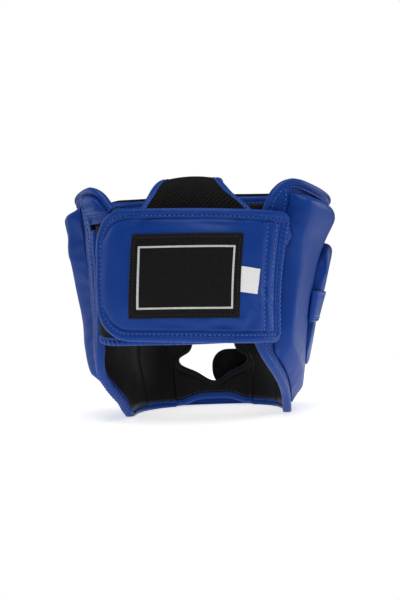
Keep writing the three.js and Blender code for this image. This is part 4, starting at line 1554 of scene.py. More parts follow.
@dataclass
class BackStrap:
    """Padded strap across the nape: bound all round, sewn at the right, free at the left."""

    finishes: Finishes
    start: float = -132.0
    end: float = -44.2
    low: float = 62.0
    high: float = 159.0
    free_corner: float = 26.0
    sewn_corner: float = 8.0
    seat: float = 1.8
    rim_face: float = 8.6
    full_face: float = 10.6
    fall_off: float = 26.0
    rim_groove: float = 1.8
    end_skew: float = 2.0
    droop: float = 0.07
    field_inset: float = 5.6
    column_step: float = 1.6
    seam_angle: float = -54.6
    seam_depth: float = 1.3
    seam_width: float = 1.3
    second_row: float = 11.5
    second_share: float = 0.6
    end_row: float = 2.4
    end_row_sink: float = 0.2
    row_lift: float = 0.1
    groove_place: float = 0.3
    groove_width: float = 1.1
    needle_width: float = 0.2
    needle_pull: Pair = (0.75, 0.35)
    band_rise: float = 0.5
    band_ease: Pair = (2.0, 3.0)
    skew_start: float = -80.0
    skew_run: float = 30.0
    fill: float = 0.6
    corner_fold: CornerFold = CornerFold()
    binding: FoldedEdge = FoldedEdge(pucker=0.55)
    binding_seed: int = 11
    creases: tuple[Crease, ...] = (
        Crease(-61.5, 76.5, 7.0, 70.0, 3.2, 1.3),
        Crease(-70.0, 74.0, 10.0, -10.0, 3.0, 1.1),
        Crease(-79.5, 73.5, 9.0, 14.0, 2.8, 0.9),
        Crease(-97.0, 74.0, 13.0, -5.0, 2.8, 0.6),
        Crease(-58.6, 91.0, 6.0, -50.0, 2.6, 1.0),
        Crease(-53.4, 91.5, 5.0, -20.0, 2.4, 0.8),
        Crease(-53.6, 104.0, 6.0, 25.0, 2.6, 0.6),
        Crease(-112.5, 146.0, 9.0, 28.0, 3.2, 1.2),
        Crease(-119.0, 138.0, 8.0, 60.0, 3.4, 0.8),
        Crease(-80.0, 147.5, 14.0, -4.0, 2.8, 0.7),
        Crease(-62.0, 146.0, 10.0, -28.0, 3.0, 0.6),
        Crease(-123.0, 100.0, 18.0, 88.0, 3.6, 0.5),
    )

    def __post_init__(self) -> None:
        """Works out the distances along the strap."""
        self.angles = np.linspace(self.start, self.end, 340)
        self.arcs = arc_lengths(SHELL.point(self.angles, (self.low + self.high) / 2.0))
        self.length = float(self.arcs[-1])

    def along(self, angle: Values) -> Array:
        """Distance from the free end at an angle."""
        return np.interp(angle, self.angles, self.arcs)

    def angle_at(self, along: Values) -> Array:
        """Angle at a distance from the free end."""
        return np.interp(along, self.arcs, self.angles)

    def inset(self, x: Array, z: Array) -> Array:
        """Distance in from the strap's outline."""
        half = np.array([self.length, self.high - self.low]) / 2.0
        across = x - half[0]
        up = z - (self.low + self.high) / 2.0
        radius = np.where(across < 0, self.free_corner, self.sewn_corner)
        beyond_x = np.abs(across) - half[0] + radius
        beyond_z = np.abs(up) - half[1] + radius
        outside = np.hypot(np.maximum(beyond_x, 0.0), np.maximum(beyond_z, 0.0))
        return radius - outside - np.minimum(np.maximum(beyond_x, beyond_z), 0.0)

    def face(self, angle: Values, z: Values) -> Array:
        """Offset of the strap's face from the shell."""
        angle, z = np.broadcast_arrays(np.asarray(angle, float), np.asarray(z, float))
        x = self.along(angle)
        inset = self.inset(x, z)
        rise = smooth_step((inset - self.field_inset) / self.fall_off)
        face = self.rim_face + (self.full_face - self.rim_face) * rise
        rim = bell(inset - self.binding.width - self.groove_place, self.groove_width)
        face = face - self.rim_groove * rim
        for crease in self.creases:
            face = face - crease.relief(x - self.along(crease.angle), z - crease.height)
        needle = needle_marks(z, self.binding.stitching.pitch, self.needle_width)
        seam = self.along(self.seam_angle)
        groove = bell(x - seam, self.seam_width)
        groove = groove + self.second_share * bell(x - self.length + self.second_row, self.groove_width)
        first, last = self.band_ease
        band = smooth_step((x - seam) / first) * smooth_step((self.length - self.field_inset - x) / last)
        pull = self.needle_pull[0] + self.needle_pull[1] * needle
        return face - self.seam_depth * pull * groove + self.band_rise * band

    def _skew(self, angle: Array, z: Array) -> tuple[Array, Array]:
        """How far the closed strap sits askew, as changes of angle and height."""
        share = smooth_step((np.asarray(angle) - self.skew_start) / self.skew_run)
        middle = (self.low + self.high) / 2.0
        turn = self.end_skew * share * 2.0 * (middle - z) / (self.high - self.low)
        return turn, -self.droop * (np.asarray(angle) - (self.start + self.end) / 2.0)

    def place(self, angle: Array, z: Array, offset: Values) -> Array:
        """Points of the strap, askew as it is closed."""
        turn, drop = self._skew(angle, z)
        return SHELL.place(angle + turn, z + drop, offset)

    def face_at(self, angle: Array, z: Array) -> Array:
        """Offset of the closed strap's face at a place on the shell."""
        turn, drop = self._skew(angle, z)
        return self.face(angle - turn, z - drop)

    def outline(self, spacing: float = 0.8) -> EdgeLine:
        """The strap's outline, along the top to the free end and back below."""
        free, sewn = self.free_corner, self.sewn_corner
        corners = [
            (free, self.high - free, free, 90.0),
            (free, self.low + free, free, 180.0),
            (self.length - sewn, self.low + sewn, sewn, 270.0),
            (self.length - sewn, self.high - sewn, sewn, 360.0),
        ]
        points = []
        for x, z, radius, first in corners:
            turn = np.radians(np.linspace(first, first + 90.0, 30))
            points.append(np.stack([x + radius * np.cos(turn), z + radius * np.sin(turn)], axis=-1))
        ring = np.vstack([*points, points[0][:1]])
        lengths = arc_lengths(ring)
        marks = np.linspace(0.0, lengths[-1], int(lengths[-1] / spacing), endpoint=False)
        even = along_line(marks, lengths, ring)
        even[:, 0] = self.angle_at(even[:, 0])
        return EdgeLine(even, closed=True)

    def _field(self) -> None:
        """Makes the strap's padded field."""
        inset = self.field_inset
        first, last = inset, self.length - inset
        reach = np.array([self.free_corner - inset, self.sewn_corner - inset])
        x = first + (last - first) * rim_steps(last - first, *reach, self.column_step)
        short = np.maximum(reach - np.stack([x - first, last - x], axis=-1), 0.0)
        drop = (reach - np.sqrt(np.maximum(reach**2 - short**2, 0.0))).sum(axis=-1)
        t = even_steps(80)
        z = (self.low + inset + drop)[:, None] * (1.0 - t) + (self.high - inset - drop)[:, None] * t
        angle = np.broadcast_to(self.angle_at(x)[:, None], z.shape)
        parts = MeshParts()
        back = np.full(angle.shape, self.seat)
        parts.slab(self.place(angle, z, self.face(angle, z)), self.place(angle, z, back), inner_finish=1)
        made = parts.build("back_strap", [self.finishes.leatherette, self.finishes.loop_pile], smoothing=1)
        dress(made, Slot.LEATHERETTE, "back_strap", self.fill)

    def _binding(self, threads: MeshParts) -> None:
        """Makes the binding round the strap, and sews it."""
        line = self.outline()

        def place(beside: float, rise: Array) -> Array:
            """Points along the strap's edge."""
            angle, z = line.moved(beside).places.T
            return self.place(angle, z, self.seat + self.binding.half_thick + rise)

        parts = MeshParts()
        self.binding.fold(parts, place, line.arcs(), self.binding_seed, closed=True)
        made = parts.build("strap_binding", [self.finishes.leatherette])
        dress(made, Slot.LEATHERETTE, "strap_binding")
        self.binding.sew(threads, place, line.arcs())

    def _seams(self, threads: MeshParts) -> None:
        """Sews the strap's right end down: two rows through its field and one in its binding."""
        z = np.linspace(self.low + self.field_inset, self.high - self.field_inset, 120)
        for row in (self.seam_angle, float(self.angle_at(self.length - self.second_row))):
            angle = np.full(z.shape, row)
            points = self.place(angle, z, self.face(angle, z) + self.row_lift)
            Stitching().sew(threads, points, SHELL.normal(angle, z))
        angle = np.full(z.shape, float(self.angle_at(self.length - self.end_row)))
        points = self.place(angle, z, self.seat + 2.0 * self.binding.half_thick - self.end_row_sink)
        Stitching().sew(threads, points, SHELL.normal(angle, z))

    def _fold(self) -> None:
        """Makes the fold of binding at the strap's upper right corner."""
        fold = self.corner_fold
        out, down = np.meshgrid(even_steps(12), even_steps(20), indexing="ij")
        z = self.high - fold.drop - fold.height * down
        fall = 1.0 - fold.tip_loss * (down - fold.peak) / (1.0 - fold.peak)
        reach = np.where(down < fold.peak, down / fold.peak, fall)
        angle = self.end - fold.behind + out * (fold.least + fold.most * reach)
        wrinkle = np.sin(fold.wrinkle_turns[0] * down + fold.wrinkle_turns[1] * out)
        face = fold.seat + fold.crown * np.sqrt(1.0 - fold.roundness * out**2) + fold.wrinkle * wrinkle
        parts = MeshParts()
        parts.slab(self.place(angle, z, face), self.place(angle, z, face - fold.thick))
        dress(parts.build("strap_binding_fold", [self.finishes.leatherette], smoothing=1), Slot.LEATHERETTE)

    def build(self) -> None:
        """Makes the strap, its binding and its stitching."""
        threads = MeshParts()
        self._field()
        self._binding(threads)
        self._seams(threads)
        self._fold()
        dress(threads.build("strap_stitches", [self.finishes.blue_thread]), Slot.LEATHERETTE)


@dataclass
class StrapLabel:
    """Woven label with a thin frame on the strap, and a ribbon tag tucked under it."""

    finishes: Finishes
    strap: BackStrap
    corners: Rows = ((-117.5, 81.0), (-66.3, 79.1), (-66.2, 139.9), (-114.7, 141.7))
    size: Pair = (90.0, 61.0)
    frame_sides: Pair = (0.06, 0.936)
    frame_levels: Pair = (0.108, 0.857)
    frame_width: Pair = (0.0165, 0.022)
    thick: float = 0.8
    edge_thick: float = 0.45
    rim: float = 1.4
    lift: float = 0.45
    sink: float = 0.3
    hem: float = 2.6
    hem_width: float = 0.9
    hem_depth: float = 0.3
    border: Pair = (0.028, 0.042)
    thread_sink: float = 0.28
    sewing: Stitching = Stitching(pitch=2.4, length=1.7, radius=0.24)
    tag_corners: Rows = ((-67.0, 98.0), (-58.6, 96.0), (-57.8, 114.4), (-66.7, 116.7))
    tag_thick: float = 0.3
    tag_lift: float = 0.1
    tag_curl: float = 0.9
    tag_wave: float = 0.25
    tag_turn: float = 5.0

    @staticmethod
    def _spread(corners: Rows, u: Array, v: Array) -> Grid:
        """Angles and heights between four corners, by shares to the right and upwards."""
        a, b, c, d = (np.array(corner) for corner in corners)
        u, v = u[..., None], v[..., None]
        grid = (a * (1 - u) + b * u) * (1 - v) + (d * (1 - u) + c * u) * v
        return grid[..., 0], grid[..., 1]

    def _steps(self, lines: Pair, width: float, count: int) -> Array:
        """Steps across the label that fall on both sides of its frame's lines."""
        first, last = lines
        inner = np.linspace(first + width, last - width, count)
        outer = [np.linspace(0.0, first, 6)[:-1], [first], inner, [last], np.linspace(last, 1.0, 6)[1:]]
        return np.concatenate(outer)

    @staticmethod
    def _framed(steps: Array, lines: Pair, width: float) -> Grid:
        """Which gaps between steps lie within the frame's two lines, and which of them on a line."""
        middle = (steps[1:] + steps[:-1]) / 2.0
        inside = (middle > lines[0]) & (middle < lines[1])
        return inside, inside & ((middle < lines[0] + width) | (middle > lines[1] - width))

    def _label(self) -> None:
        """Makes the label, its frame woven into it, and its sewn border."""
        across = self._steps(self.frame_sides, self.frame_width[0], 44)
        upward = self._steps(self.frame_levels, self.frame_width[1], 28)
        u, v = np.meshgrid(across, upward, indexing="ij")
        angle, z = self._spread(self.corners, u, v)
        base = self.strap.face_at(angle, z) + self.lift
        edge = np.minimum(np.minimum(u, 1 - u) * self.size[0], np.minimum(v, 1 - v) * self.size[1])
        sewn = self.hem_depth * bell(edge - self.hem, self.hem_width)
        full = self.edge_thick + (self.thick - self.edge_thick) * quarter_round(edge, self.rim)
        parts = MeshParts()
        parts.slab(SHELL.place(angle, z, base + full - sewn), SHELL.place(angle, z, base - self.sink))
        inside_u, on_u = self._framed(across, self.frame_sides, self.frame_width[0])
        inside_v, on_v = self._framed(upward, self.frame_levels, self.frame_width[1])
        framed = (on_u[:, None] & inside_v[None, :]) | (inside_u[:, None] & on_v[None, :])
        marks = framed.reshape(-1).astype(int).tolist()
        parts.finishes[: len(marks)] = marks
        made = parts.build("strap_label", [self.finishes.label, self.finishes.frame_thread])
        dress(made, Slot.LABEL, "strap_label")
        self._border()

    def _border(self) -> None:
        """Sews the label down along its border."""
        side, end = self.border
        run, upright = np.linspace(side, 1.0 - side, 80), np.linspace(end, 1.0 - end, 80)
        rows = []
        for u, v in ((run, end), (run, 1.0 - end), (side, upright), (1.0 - side, upright)):
            angle, z = self._spread(self.corners, *np.broadcast_arrays(u, v))
            offset = self.strap.face_at(angle, z) + self.lift + self.thick - self.thread_sink
            rows.append((SHELL.place(angle, z, offset), SHELL.normal(angle, z)))
        self.sewing.make("label_stitches", rows, self.finishes.black_thread, Slot.LABEL)

    def _tag(self) -> None:
        """Makes the ribbon tag, a little curled at its free end."""
        u, v = np.meshgrid(even_steps(22), even_steps(20), indexing="ij")
        angle, z = self._spread(self.tag_corners, u, v)
        curl = self.tag_curl * u**2 + self.tag_wave * np.sin(v * self.tag_turn) * u
        base = self.strap.face_at(angle, z) + self.tag_lift + curl
        parts = MeshParts()
        parts.slab(SHELL.place(angle, z, base + self.tag_thick), SHELL.place(angle, z, base))
        made = parts.build("size_tag", [self.finishes.ribbon])
        dress(made, Slot.RIBBON, "size_tag")

    def build(self) -> None:
        """Makes the label and the tag."""
        self._label()
        self._tag()


@dataclass
class RearCloser:
    """What the strap closes on: the pile tail under it and the flap at the left."""

    finishes: Finishes
    tail_start: float = -136.2
    tail_end: float = -57.2
    tail_low: float = 66.0
    tail_high: float = 150.0
    tail_face: float = 1.0
    tail_thick: float = 3.0
    tail_fill: float = 0.3
    nap: float = 0.25
    nap_runs: tuple[tuple[float, float, float, int], ...] = ((3.1, 1.7, 7.0, 5), (-1.0, 2.3, 9.0, 6))
    hem_rows: Rows = ((-137.4, 68), (-136.6, 63.5), (-133, 61.4), (-112, 60.8), (-88, 60.4), (-68, 60.6))
    hem_spacing: float = 0.8
    hem_middle: float = -0.5
    hem_seed: int = 41
    tail_hem: FoldedEdge = FoldedEdge(width=6.5, half_thick=2.2, gathers=0.3)
    flap_rear: float = -55.0
    flap_front: float = -33.5
    flap_low: float = 152.0
    flap_thick: float = 5.0
    flap_fill: float = 0.7
    top_margin: float = 5.9
    bulge: float = 5.0
    bulge_height: float = 166.5
    bulge_spread: float = 7.5
    bulge_ease: float = 8.0
    hem_lines: Pair = (158.6, 156.0)
    hem_width: float = 0.7
    hem_depth: float = 0.6
    roll_radius: float = 1.6
    roll_depth: float = 1.2
    crease_place: Pair = (-40.0, 164.0)
    crease_slope: float = 0.22
    crease_width: float = 2.2
    crease_depth: float = 0.8
    overlap: float = -40.5
    overlap_run: float = 1.6
    overlap_rise: float = 1.3
    overlap_gap: float = 0.1
    front_row: float = 1.2
    front_top: float = 173.0
    front_width: float = 0.45
    front_depth: float = 0.5
    row_ends: tuple[float, float, float] = (1.5, 1.0, 2.0)
    row_lift: float = 0.1

    def _tail(self) -> None:
        """Makes the tail of loop pile."""
        ends = level(self.tail_start), level(self.tail_end)
        low, high = level(self.tail_low), level(self.tail_high)
        angle, z = patch(*ends, low, high, even_steps(80), even_steps(40))
        nap = self.nap
        for along, up, wavelength, seed in self.nap_runs:
            nap = nap * ripple(angle * along + z * up, wavelength, seed)
        parts = MeshParts()
        outer = SHELL.place(angle, z, self.tail_face + nap)
        parts.slab(outer, SHELL.place(angle, z, self.tail_face - self.tail_thick), inner_finish=1)
        made = parts.build("loop_tail", [self.finishes.loop_pile, self.finishes.lining])
        dress(made, Slot.LOOP_PILE, "loop_tail", self.tail_fill)

    def _hem(self) -> None:
        """Makes the gathered hem along the tail's lower edge."""
        line = EdgeLine.through(self.hem_rows, self.hem_spacing)
        place = bound_edge(line, self.hem_middle)
        parts = MeshParts()
        self.tail_hem.fold(parts, place, line.arcs(), self.hem_seed)
        dress(parts.build("loop_tail_hem", [self.finishes.leatherette]), Slot.LEATHERETTE)
        threads = MeshParts()
        self.tail_hem.sew(threads, place, line.arcs())
        dress(threads.build("loop_tail_stitches", [self.finishes.blue_thread]), Slot.LEATHERETTE)

    def _over(self, angle: Array) -> Array:
        """How much of the flap lies over the side panel at an angle."""
        return smooth_step((angle - self.overlap) / self.overlap_run)

    def _flap_face(self, angle: Array, z: Array) -> Array:
        """Offset of the flap's face: a soft bulge over a flat hem."""
        ease = self.bulge_ease
        window = smooth_step((angle - self.flap_rear) / ease) * smooth_step((self.flap_front - angle) / ease)
        bulge = self.bulge * bell(z - self.bulge_height, self.bulge_spread, 4) * window
        hem = sum(bell(z - line, self.hem_width) for line in self.hem_lines)
        roll = quarter_round(z - self.flap_low, self.roll_radius) - 1.0
        middle, height = self.crease_place
        beside = z - height + (angle - middle) * self.crease_slope
        crease = self.crease_depth * bell(beside, self.crease_width) * window
        front = bell(angle - self.flap_front + self.front_row, self.front_width)
        face = bulge - self.hem_depth * hem + self.roll_depth * roll - crease
        return face + self.overlap_rise * self._over(angle) - self.front_depth * front

    def _flap_row(self, angle: Values, z: Values) -> tuple[Array, Array]:
        """Points and outward directions of a row of stitches on the flap."""
        angle, z = np.broadcast_arrays(angle, z)
        shell = SHELLS[Side.LEFT]
        return shell.place(angle, z, self._flap_face(angle, z) + self.row_lift), shell.normal(angle, z)

    def _flap(self) -> None:
        """Makes the flap and its double-sewn hem."""
        ends = level(self.flap_rear), level(self.flap_front)
        high = EDGES.top(Side.LEFT).moved(self.top_margin).height_at
        angle, z = patch(*ends, level(self.flap_low), high, even_steps(48), even_steps(48))
        parts = MeshParts()
        shell = SHELLS[Side.LEFT]
        back = -self.flap_thick + (self.flap_thick + self.overlap_gap) * self._over(angle)
        outer = shell.place(angle, z, self._flap_face(angle, z))
        parts.slab(outer, shell.place(angle, z, back), inner_finish=1)
        materials = [self.finishes.leatherette, self.finishes.lining]
        made = parts.build("rear_flap_left", materials, Side.LEFT, smoothing=1)
        dress(made, Slot.LEATHERETTE, "rear_flap_left", self.flap_fill)
        rear, front, low = self.row_ends
        run = np.linspace(self.flap_rear + rear, self.flap_front - front, 60)
        heights = np.linspace(self.flap_low + low, self.front_top, 40)
        rows = [self._flap_row(run, line) for line in self.hem_lines]
        rows.append(self._flap_row(self.flap_front - self.front_row, heights))
        Stitching().make("rear_flap_stitches", rows, self.finishes.blue_thread, side=Side.LEFT)

    def build(self) -> None:
        """Makes the tail and the flap."""
        self._tail()
        self._hem()
        self._flap()


# The crown


@dataclass
class Crown:
    """Air-mesh crown panel over the head, bound along both sides."""

    finishes: Finishes
    leans: tuple[float, ...] = (-1, -1, 2.5, -2.5, -5.5, -5, -8, -7, -7)
    depths: tuple[float, ...] = (-104.1, -103.9, -95, -70, -30, 10, 55, 88, 94.4)
    heights: tuple[float, ...] = (108, 135, 160, 178, 188, 190, 186, 176, 158)
    widths: tuple[float, ...] = (60, 66, 90, 64, 51, 47, 34, 44, 48)
    arch: float = 0.0053
    thick: float = 4.0
    hole_pitch: float = 3.4
    row_pitch: float = 2.7
    hole_radii: Pair = (0.98, 0.8)
    hole_depth: float = 1.3
    mouth_sink: float = 0.12
    floor_share: float = 0.8
    columns: int = 14
    covered: float = 5.8
    fill: float = 0.3
    spacing: float = 0.8
    first_seed: int = 21
    binding: FoldedEdge = FoldedEdge(width=6.8, half_thick=2.9, stitching=Stitching(radius=0.3))

    def __post_init__(self) -> None:
        """Works out the panel's middle line."""
        self.line = EdgeLine.spline(np.stack([self.depths, self.heights], axis=-1).astype(float), False)
        self.arcs = arc_lengths(self.line)
        self.shares = np.linspace(0.0, len(self.heights) - 1, len(self.line))

    def half_width(self, arc: Values) -> Array:
        """Half of the panel's width at a distance along it."""
        rows = tuple(range(len(self.widths)))
        return Table(rows, self.widths).at(np.interp(arc, self.arcs, self.shares)) / 2.0

    def place(self, arc: Values, x: Values, rise: Values) -> Array:
        """Points at distances along the middle line, to its right and above the panel's face."""
        arc, x, rise = np.broadcast_arrays(*(np.asarray(value, float) for value in (arc, x, rise)))
        slopes = np.gradient(self.line, self.arcs, axis=0)
        y, z = (np.interp(arc, self.arcs, self.line[:, axis]) for axis in (0, 1))
        along_y, along_z = (np.interp(arc, self.arcs, slopes[:, axis]) for axis in (0, 1))
        size = np.hypot(along_y, along_z)
        lean = Table(tuple(range(len(self.leans))), self.leans).at(np.interp(arc, self.arcs, self.shares))
        depth = rise - self.arch * x**2
        return np.stack([lean + x, y - depth * along_z / size, z + depth * along_y / size], axis=-1)

    def _holes(self, parts: MeshParts) -> None:
        """Adds the knitted face, with a pit for each hole."""
        rows = np.arange(1, int(self.arcs[-1] / self.row_pitch) - 1)
        columns = np.arange(-self.columns, self.columns + 1)
        row, column = np.meshgrid(rows, columns, indexing="ij")
        reach = self.half_width(row * self.row_pitch) - self.covered
        kept = np.abs((column + 0.5 * (row % 2)) * self.hole_pitch) <= reach
        middles = np.stack([2 * column + row % 2, 3 * row], axis=-1)[kept]
        around = np.array([(0, 2), (1, 1), (1, -1), (0, -2), (-1, -1), (-1, 1)])
        keys = (middles[:, None] + around).reshape(-1, 2)
        corners, numbers = np.unique(keys, axis=0, return_inverse=True)
        outer = numbers.reshape(-1, 6)
        mouth = len(corners) + np.arange(12 * len(middles)).reshape(-1, 12)
        floor = mouth + mouth.size
        turn = np.radians(90.0 - 30.0 * np.arange(12))
        ring = np.stack([np.cos(turn), np.sin(turn)], axis=-1) * np.array(self.hole_radii)
        pitch = np.array([self.hole_pitch / 2.0, self.row_pitch / 3.0])
        rings = [(middles * pitch)[:, None] + ring * share for share in (1.0, self.floor_share)]
        flat = np.vstack([corners * pitch, *(points.reshape(-1, 2) for points in rings)])
        counts = [len(corners), mouth.size, floor.size]
        rise = np.repeat([0.0, -self.mouth_sink, -self.hole_depth], counts)
        first, second = mouth[:, ::2], mouth[:, 1::2]
        collars = [outer, np.roll(outer, -1, axis=1), np.roll(first, -1, axis=1), second, first]
        walls = [mouth, np.roll(mouth, -1, axis=1), np.roll(floor, -1, axis=1), floor]
        faces = [np.stack(sides, axis=-1).reshape(-1, len(sides)).tolist() for sides in (collars, walls)]
        parts.add(self.place(flat[:, 1], flat[:, 0], rise), faces[0] + faces[1] + floor.tolist())

    def _panel(self) -> None:
        """Makes the panel: knitted face over a soft backing."""
        parts = MeshParts()
        self._holes(parts)
        arc, share = np.meshgrid(
            np.linspace(0.0, self.arcs[-1], 110), np.linspace(-1.0, 1.0, 18), indexing="ij"
        )
        x = share * (self.half_width(arc) - self.covered)
        parts.slab(self.place(arc, x, -self.hole_depth), self.place(arc, x, -self.thick))
        made = parts.build("crown_panel", [self.finishes.air_mesh])
        dress(made, Slot.AIR_MESH, "crown_panel", self.fill)

    def _side(self, side: Side) -> None:
        """Makes the binding along one side."""
        arcs = np.arange(0.0, self.arcs[-1], self.spacing)
        half = self.half_width(arcs)

        def place(beside: float, rise: Array) -> Array:
            """Points along the panel's side."""
            return self.place(arcs, side.value * (half - beside), rise - self.thick / 2.0)

        name = side.of("crown_binding")
        self.binding.make(name, place, arcs, self.first_seed + side.value, self.finishes)

    def build(self) -> None:
        """Makes the panel and its two bindings."""
        self._panel()
        for side in Side:
            self._side(side)


@dataclass
class ChinTab:
    """End of the chin strap, closed over the chin pad from the right cheek."""

    finishes: Finishes
    pads: OuterPads
    start: float = 47.0
    end: float = 92.0
    low: float = 15.0
    high: float = 47.0
    thick: float = 3.0
    round_end: float = 14.0
    ramp: float = 10.0
    clearance: float = 1.0
    edge_thick: float = 1.2
    rim: float = 1.8
    hem: float = 3.0
    hem_width: float = 0.8
    hem_depth: float = 0.4
    rear_end: float = 3.0
    thread_sink: float = 0.35
    end_crowding: float = 1.5
    fill: float = 0.4

    def _lift(self, angle: Array) -> Array:
        """Offset of the tab's underside."""
        on_cheek = 1.0 - smooth_step((angle - EDGES.seam_chin) / self.ramp)
        step = self.pads.cheek_thick - self.pads.chin_thick
        return self.pads.chin_thick + step * on_cheek + self.clearance

    def build(self) -> None:
        """Makes the tab and its hem."""
        low, high = rounded_ends(self.start, self.end, self.low, self.high, 0.0, self.round_end)
        shares = 1.0 - np.linspace(1.0, 0.0, 56) ** self.end_crowding
        angle, z = patch(level(self.start), level(self.end), low, high, shares, even_steps(30))
        lift = self._lift(angle)
        edge = np.minimum.reduce(rim_distances(SHELL.place(angle, z, lift))[1:])
        sewn = self.hem_depth * bell(edge - self.hem, self.hem_width)
        full = self.edge_thick + (self.thick - self.edge_thick) * quarter_round(edge, self.rim)
        parts = MeshParts()
        parts.slab(SHELL.place(angle, z, lift + full - sewn), SHELL.place(angle, z, lift), inner_finish=1)
        made = parts.build("chin_tab", [self.finishes.leatherette, self.finishes.loop_pile], smoothing=1)
        dress(made, Slot.LINING, "chin_tab", self.fill)
        self._sew()

    def _sew(self) -> None:
        """Sews the tab's hem, along its lower edge, round its end and back."""
        hem = self.hem
        end = self.end - hem / float(SHELL.degree_length(self.end, self.low))
        run = np.linspace(self.start + self.rear_end, end, 90)
        heights = self.low + hem, self.high - hem
        low, high = rounded_ends(self.start, end, *heights, 0.0, self.round_end - hem)
        angle = np.concatenate([run, run[::-1]])
        z = np.concatenate([low(run), high(run[::-1])])
        points = SHELL.place(angle, z, self._lift(angle) + self.thick - self.thread_sink)
        row = points, SHELL.normal(angle, z)
        Stitching().make("chin_tab_stitches", [row], self.finishes.blue_thread, Slot.LINING)


@dataclass
class BrowTape:
    """Black tape that is sewn outside the brow's binding and stands a little above it."""

    finishes: Finishes
    end: float = 30.0
    taper: float = 18.0
    length: float = 150.0
    low: float = 9.4
    rise: float = 2.6
    end_low: float = 3.0
    end_high: float = 2.0
    seat: float = 1.5
    thick: float = 1.6
    edge_share: float = 0.4
    rim: float = 0.8
    steps: Pair = (2.0, 1.2)

    def build(self) -> None:
        """Makes the tape, narrower towards its ends."""
        last = 2.0 * EDGES.nose - self.end
        top = EDGES.across_brow(0.0)

        def full(angle: Array) -> Array:
            """How much of its width the tape has at an angle."""
            return smooth_step(np.minimum(angle - self.end, last - angle) / self.taper)

        def low(angle: Array) -> Array:
            """Height of the tape's lower edge."""
            return top(angle) - self.end_low - (self.low - self.end_low) * full(angle)

        def high(angle: Array) -> Array:
            """Height of the tape's upper edge."""
            return top(angle) - self.end_high + (self.rise + self.end_high) * full(angle)

        width = self.low + self.rise
        across = rim_steps(width, self.rim, self.rim, self.steps[1])
        along = rim_steps(self.length, 1.0, 1.0, self.steps[0])
        angle, z = patch(*EDGES.both_sides(self.end), low, high, along, across)
        rounded = quarter_round(np.minimum(across, 1.0 - across) * width, self.rim)
        face = self.seat + self.thick * (self.edge_share + (1.0 - self.edge_share) * rounded)
        parts = MeshParts()
        parts.slab(SHELL.place(angle, z, face), SHELL.place(angle, z, self.seat))
        dress(parts.build("brow_tape", [self.finishes.lining], smoothing=1), Slot.LINING)


@dataclass
class EdgeBindings:
    """Bindings folded over the edges of the shell."""

    finishes: Finishes
    binding: FoldedEdge = FoldedEdge(faces=(1, -1))
    gathered: FoldedEdge = FoldedEdge(gathers=0.32, gather_span=(112.0, 190.0), faces=(1, -1))
    flat: FoldedEdge = FoldedEdge(half_thick=2.8, pucker=0.15, lined=True)
    top_lean: Table = Table((-57, -45, -20, 0, 25, 45), (0, 0, 5, 5.5, 3, 0))
    first_seed: int = 31

    def build(self) -> None:
        """Makes the six bindings."""
        right_top = EDGES.bound_top()
        lean = self.top_lean.at(right_top.places[:, 0])
        plans = (
            ("rim_binding_right", EDGES.low(Side.RIGHT), self.binding, Side.RIGHT, 0.0),
            ("rim_binding_left", EDGES.low(Side.LEFT), self.gathered, Side.LEFT, 0.0),
            ("chin_binding", EDGES.chin_low(), self.binding, Side.RIGHT, 0.0),
            ("top_binding_right", right_top, self.binding, Side.RIGHT, lean),
            ("top_binding_left", EDGES.top(Side.LEFT), self.binding, Side.LEFT, 0.0),
            ("face_binding", EDGES.face(), self.flat, Side.RIGHT, 0.0),
        )
        for seed, (name, line, binding, side, out) in enumerate(plans, self.first_seed):
            place = bound_edge(line, out + PANEL_MIDDLE, side)
            binding.make(name, place, line.arcs(), seed, self.finishes, side, line.closed)


# The studio


@dataclass(frozen=True)
class SoftBox:
    """Soft light: its place and size in metres, and its power."""

    name: str
    place: tuple[float, float, float]
    size: Pair
    power: float


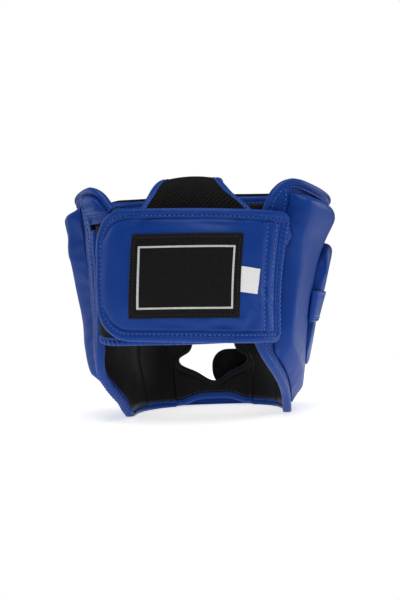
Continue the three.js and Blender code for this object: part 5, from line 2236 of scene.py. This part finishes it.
@dataclass
class Studio:
    """Pale floor, soft lights and the camera behind the headgear."""

    camera_distance: float = 1.2
    camera_height: float = 0.105
    camera_yaw: float = 4.2
    camera_roll: float = -2.2
    lens: float = 90.0
    sensor: float = 36.0
    shift: Pair = (-0.005, -0.0283)
    aim: tuple[float, float, float] = (0.0, 0.0, 0.1)
    floor_reach: float = 0.6
    floor_colour: Colour = (0.86, 0.86, 0.86)
    floor_roughness: float = 0.8
    floor_glow: float = 0.6
    white: tuple[float, float, float, float] = (1.0, 1.0, 1.0, 1.0)
    sky: float = 0.06
    backdrop: float = 1.0
    boxes: tuple[SoftBox, ...] = (
        SoftBox("right_box", (1.5, 0.7, 0.5), (1.2, 1.2), 11.0),
        SoftBox("left_box", (-1.5, 0.6, 0.5), (1.2, 1.2), 8.0),
        SoftBox("top_box", (0.0, -0.2, 1.9), (1.6, 1.6), 20.0),
        SoftBox("high_fill", (0.3, -1.5, 1.5), (0.8, 0.8), 14.0),
    )

    def _floor(self) -> None:
        """Makes the floor."""
        turn = np.linspace(0.0, 2.0 * np.pi, 96, endpoint=False)
        ring = np.stack([np.cos(turn), np.sin(turn), np.zeros_like(turn)], axis=-1) * self.floor_reach
        mesh = bpy.data.meshes.new("floor")
        mesh.from_pydata(ring.tolist(), [], [list(range(len(ring)))])
        nodes = Nodes("pale_floor")
        pale = nodes.finish(
            Base_Color=(*self.floor_colour, 1.0),
            Roughness=self.floor_roughness,
            Emission_Color=self.white,
            Emission_Strength=self.floor_glow,
        )
        mesh.materials.append(pale)
        floor = bpy.data.objects.new("floor", mesh)
        bpy.context.scene.collection.objects.link(floor)
        floor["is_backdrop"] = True

    def _lights(self) -> None:
        """Makes the soft boxes, each turned to the headgear."""
        for box in self.boxes:
            light = bpy.data.lights.new(box.name, "AREA")
            light.shape = "RECTANGLE"
            light.size, light.size_y = box.size
            light.energy = box.power
            lamp = bpy.data.objects.new(box.name, light)
            lamp.location = box.place
            direction = Vector(self.aim) - Vector(box.place)
            lamp.rotation_euler = direction.to_track_quat("-Z", "Y").to_euler()
            bpy.context.scene.collection.objects.link(lamp)

    def _surroundings(self) -> None:
        """Makes the even light all round, with a white backdrop."""
        world = bpy.data.worlds.new("studio")
        world.use_nodes = True
        bpy.context.scene.world = world
        tree = world.node_tree
        soft = tree.nodes["Background"]
        white = tree.nodes.new("ShaderNodeBackground")
        for light, strength in ((soft, self.sky), (white, self.backdrop)):
            light.inputs["Strength"].default_value = strength
            light.inputs["Color"].default_value = self.white
        path = tree.nodes.new("ShaderNodeLightPath")
        mix = tree.nodes.new("ShaderNodeMixShader")
        tree.links.new(path.outputs["Is Camera Ray"], mix.inputs["Fac"])
        tree.links.new(soft.outputs["Background"], mix.inputs[1])
        tree.links.new(white.outputs["Background"], mix.inputs[2])
        tree.links.new(mix.outputs["Shader"], tree.nodes["World Output"].inputs["Surface"])

    def _camera(self) -> None:
        """Makes the camera, level and a little to the right of the nape."""
        yaw = math.radians(self.camera_yaw)
        lens = bpy.data.cameras.new("camera")
        lens.lens = self.lens
        lens.sensor_width = self.sensor
        lens.shift_x, lens.shift_y = self.shift
        camera = bpy.data.objects.new("camera", lens)
        camera.location = (
            self.camera_distance * math.sin(yaw),
            -self.camera_distance * math.cos(yaw),
            self.camera_height,
        )
        level_turn = Matrix.Rotation(yaw, 4, "Z") @ Matrix.Rotation(math.pi / 2.0, 4, "X")
        roll = Matrix.Rotation(math.radians(self.camera_roll), 4, "Z")
        camera.rotation_euler = (level_turn @ roll).to_euler()
        bpy.context.scene.collection.objects.link(camera)
        bpy.context.scene.camera = camera

    def build(self) -> None:
        """Sets the studio up."""
        bpy.context.scene.view_settings.view_transform = "Standard"
        self._floor()
        self._lights()
        self._surroundings()
        self._camera()


def write_sizes() -> None:
    """Works out the frame's box and the dressed headgear's box, as lists."""
    boxes = {"cad": CAD_BOX, "visual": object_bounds()}
    plain = {name: [list(corner) for corner in corners] for name, corners in boxes.items()}


def main() -> None:
    """Builds the headgear and its studio."""
    logging.basicConfig(level=logging.INFO, format="%(message)s")
    Studio().build()
    finishes = Finishes()
    pads = OuterPads(finishes)
    strap = BackStrap(finishes)
    ShellPanels(finishes).build()
    pads.build()
    EarGuards(finishes, pads).build()
    strap.build()
    StrapLabel(finishes, strap).build()
    RearCloser(finishes).build()
    Crown(finishes).build()
    ChinTab(finishes, pads).build()
    BrowTape(finishes).build()
    EdgeBindings(finishes).build()
    write_sizes()


if __name__ == "__main__":
    main()
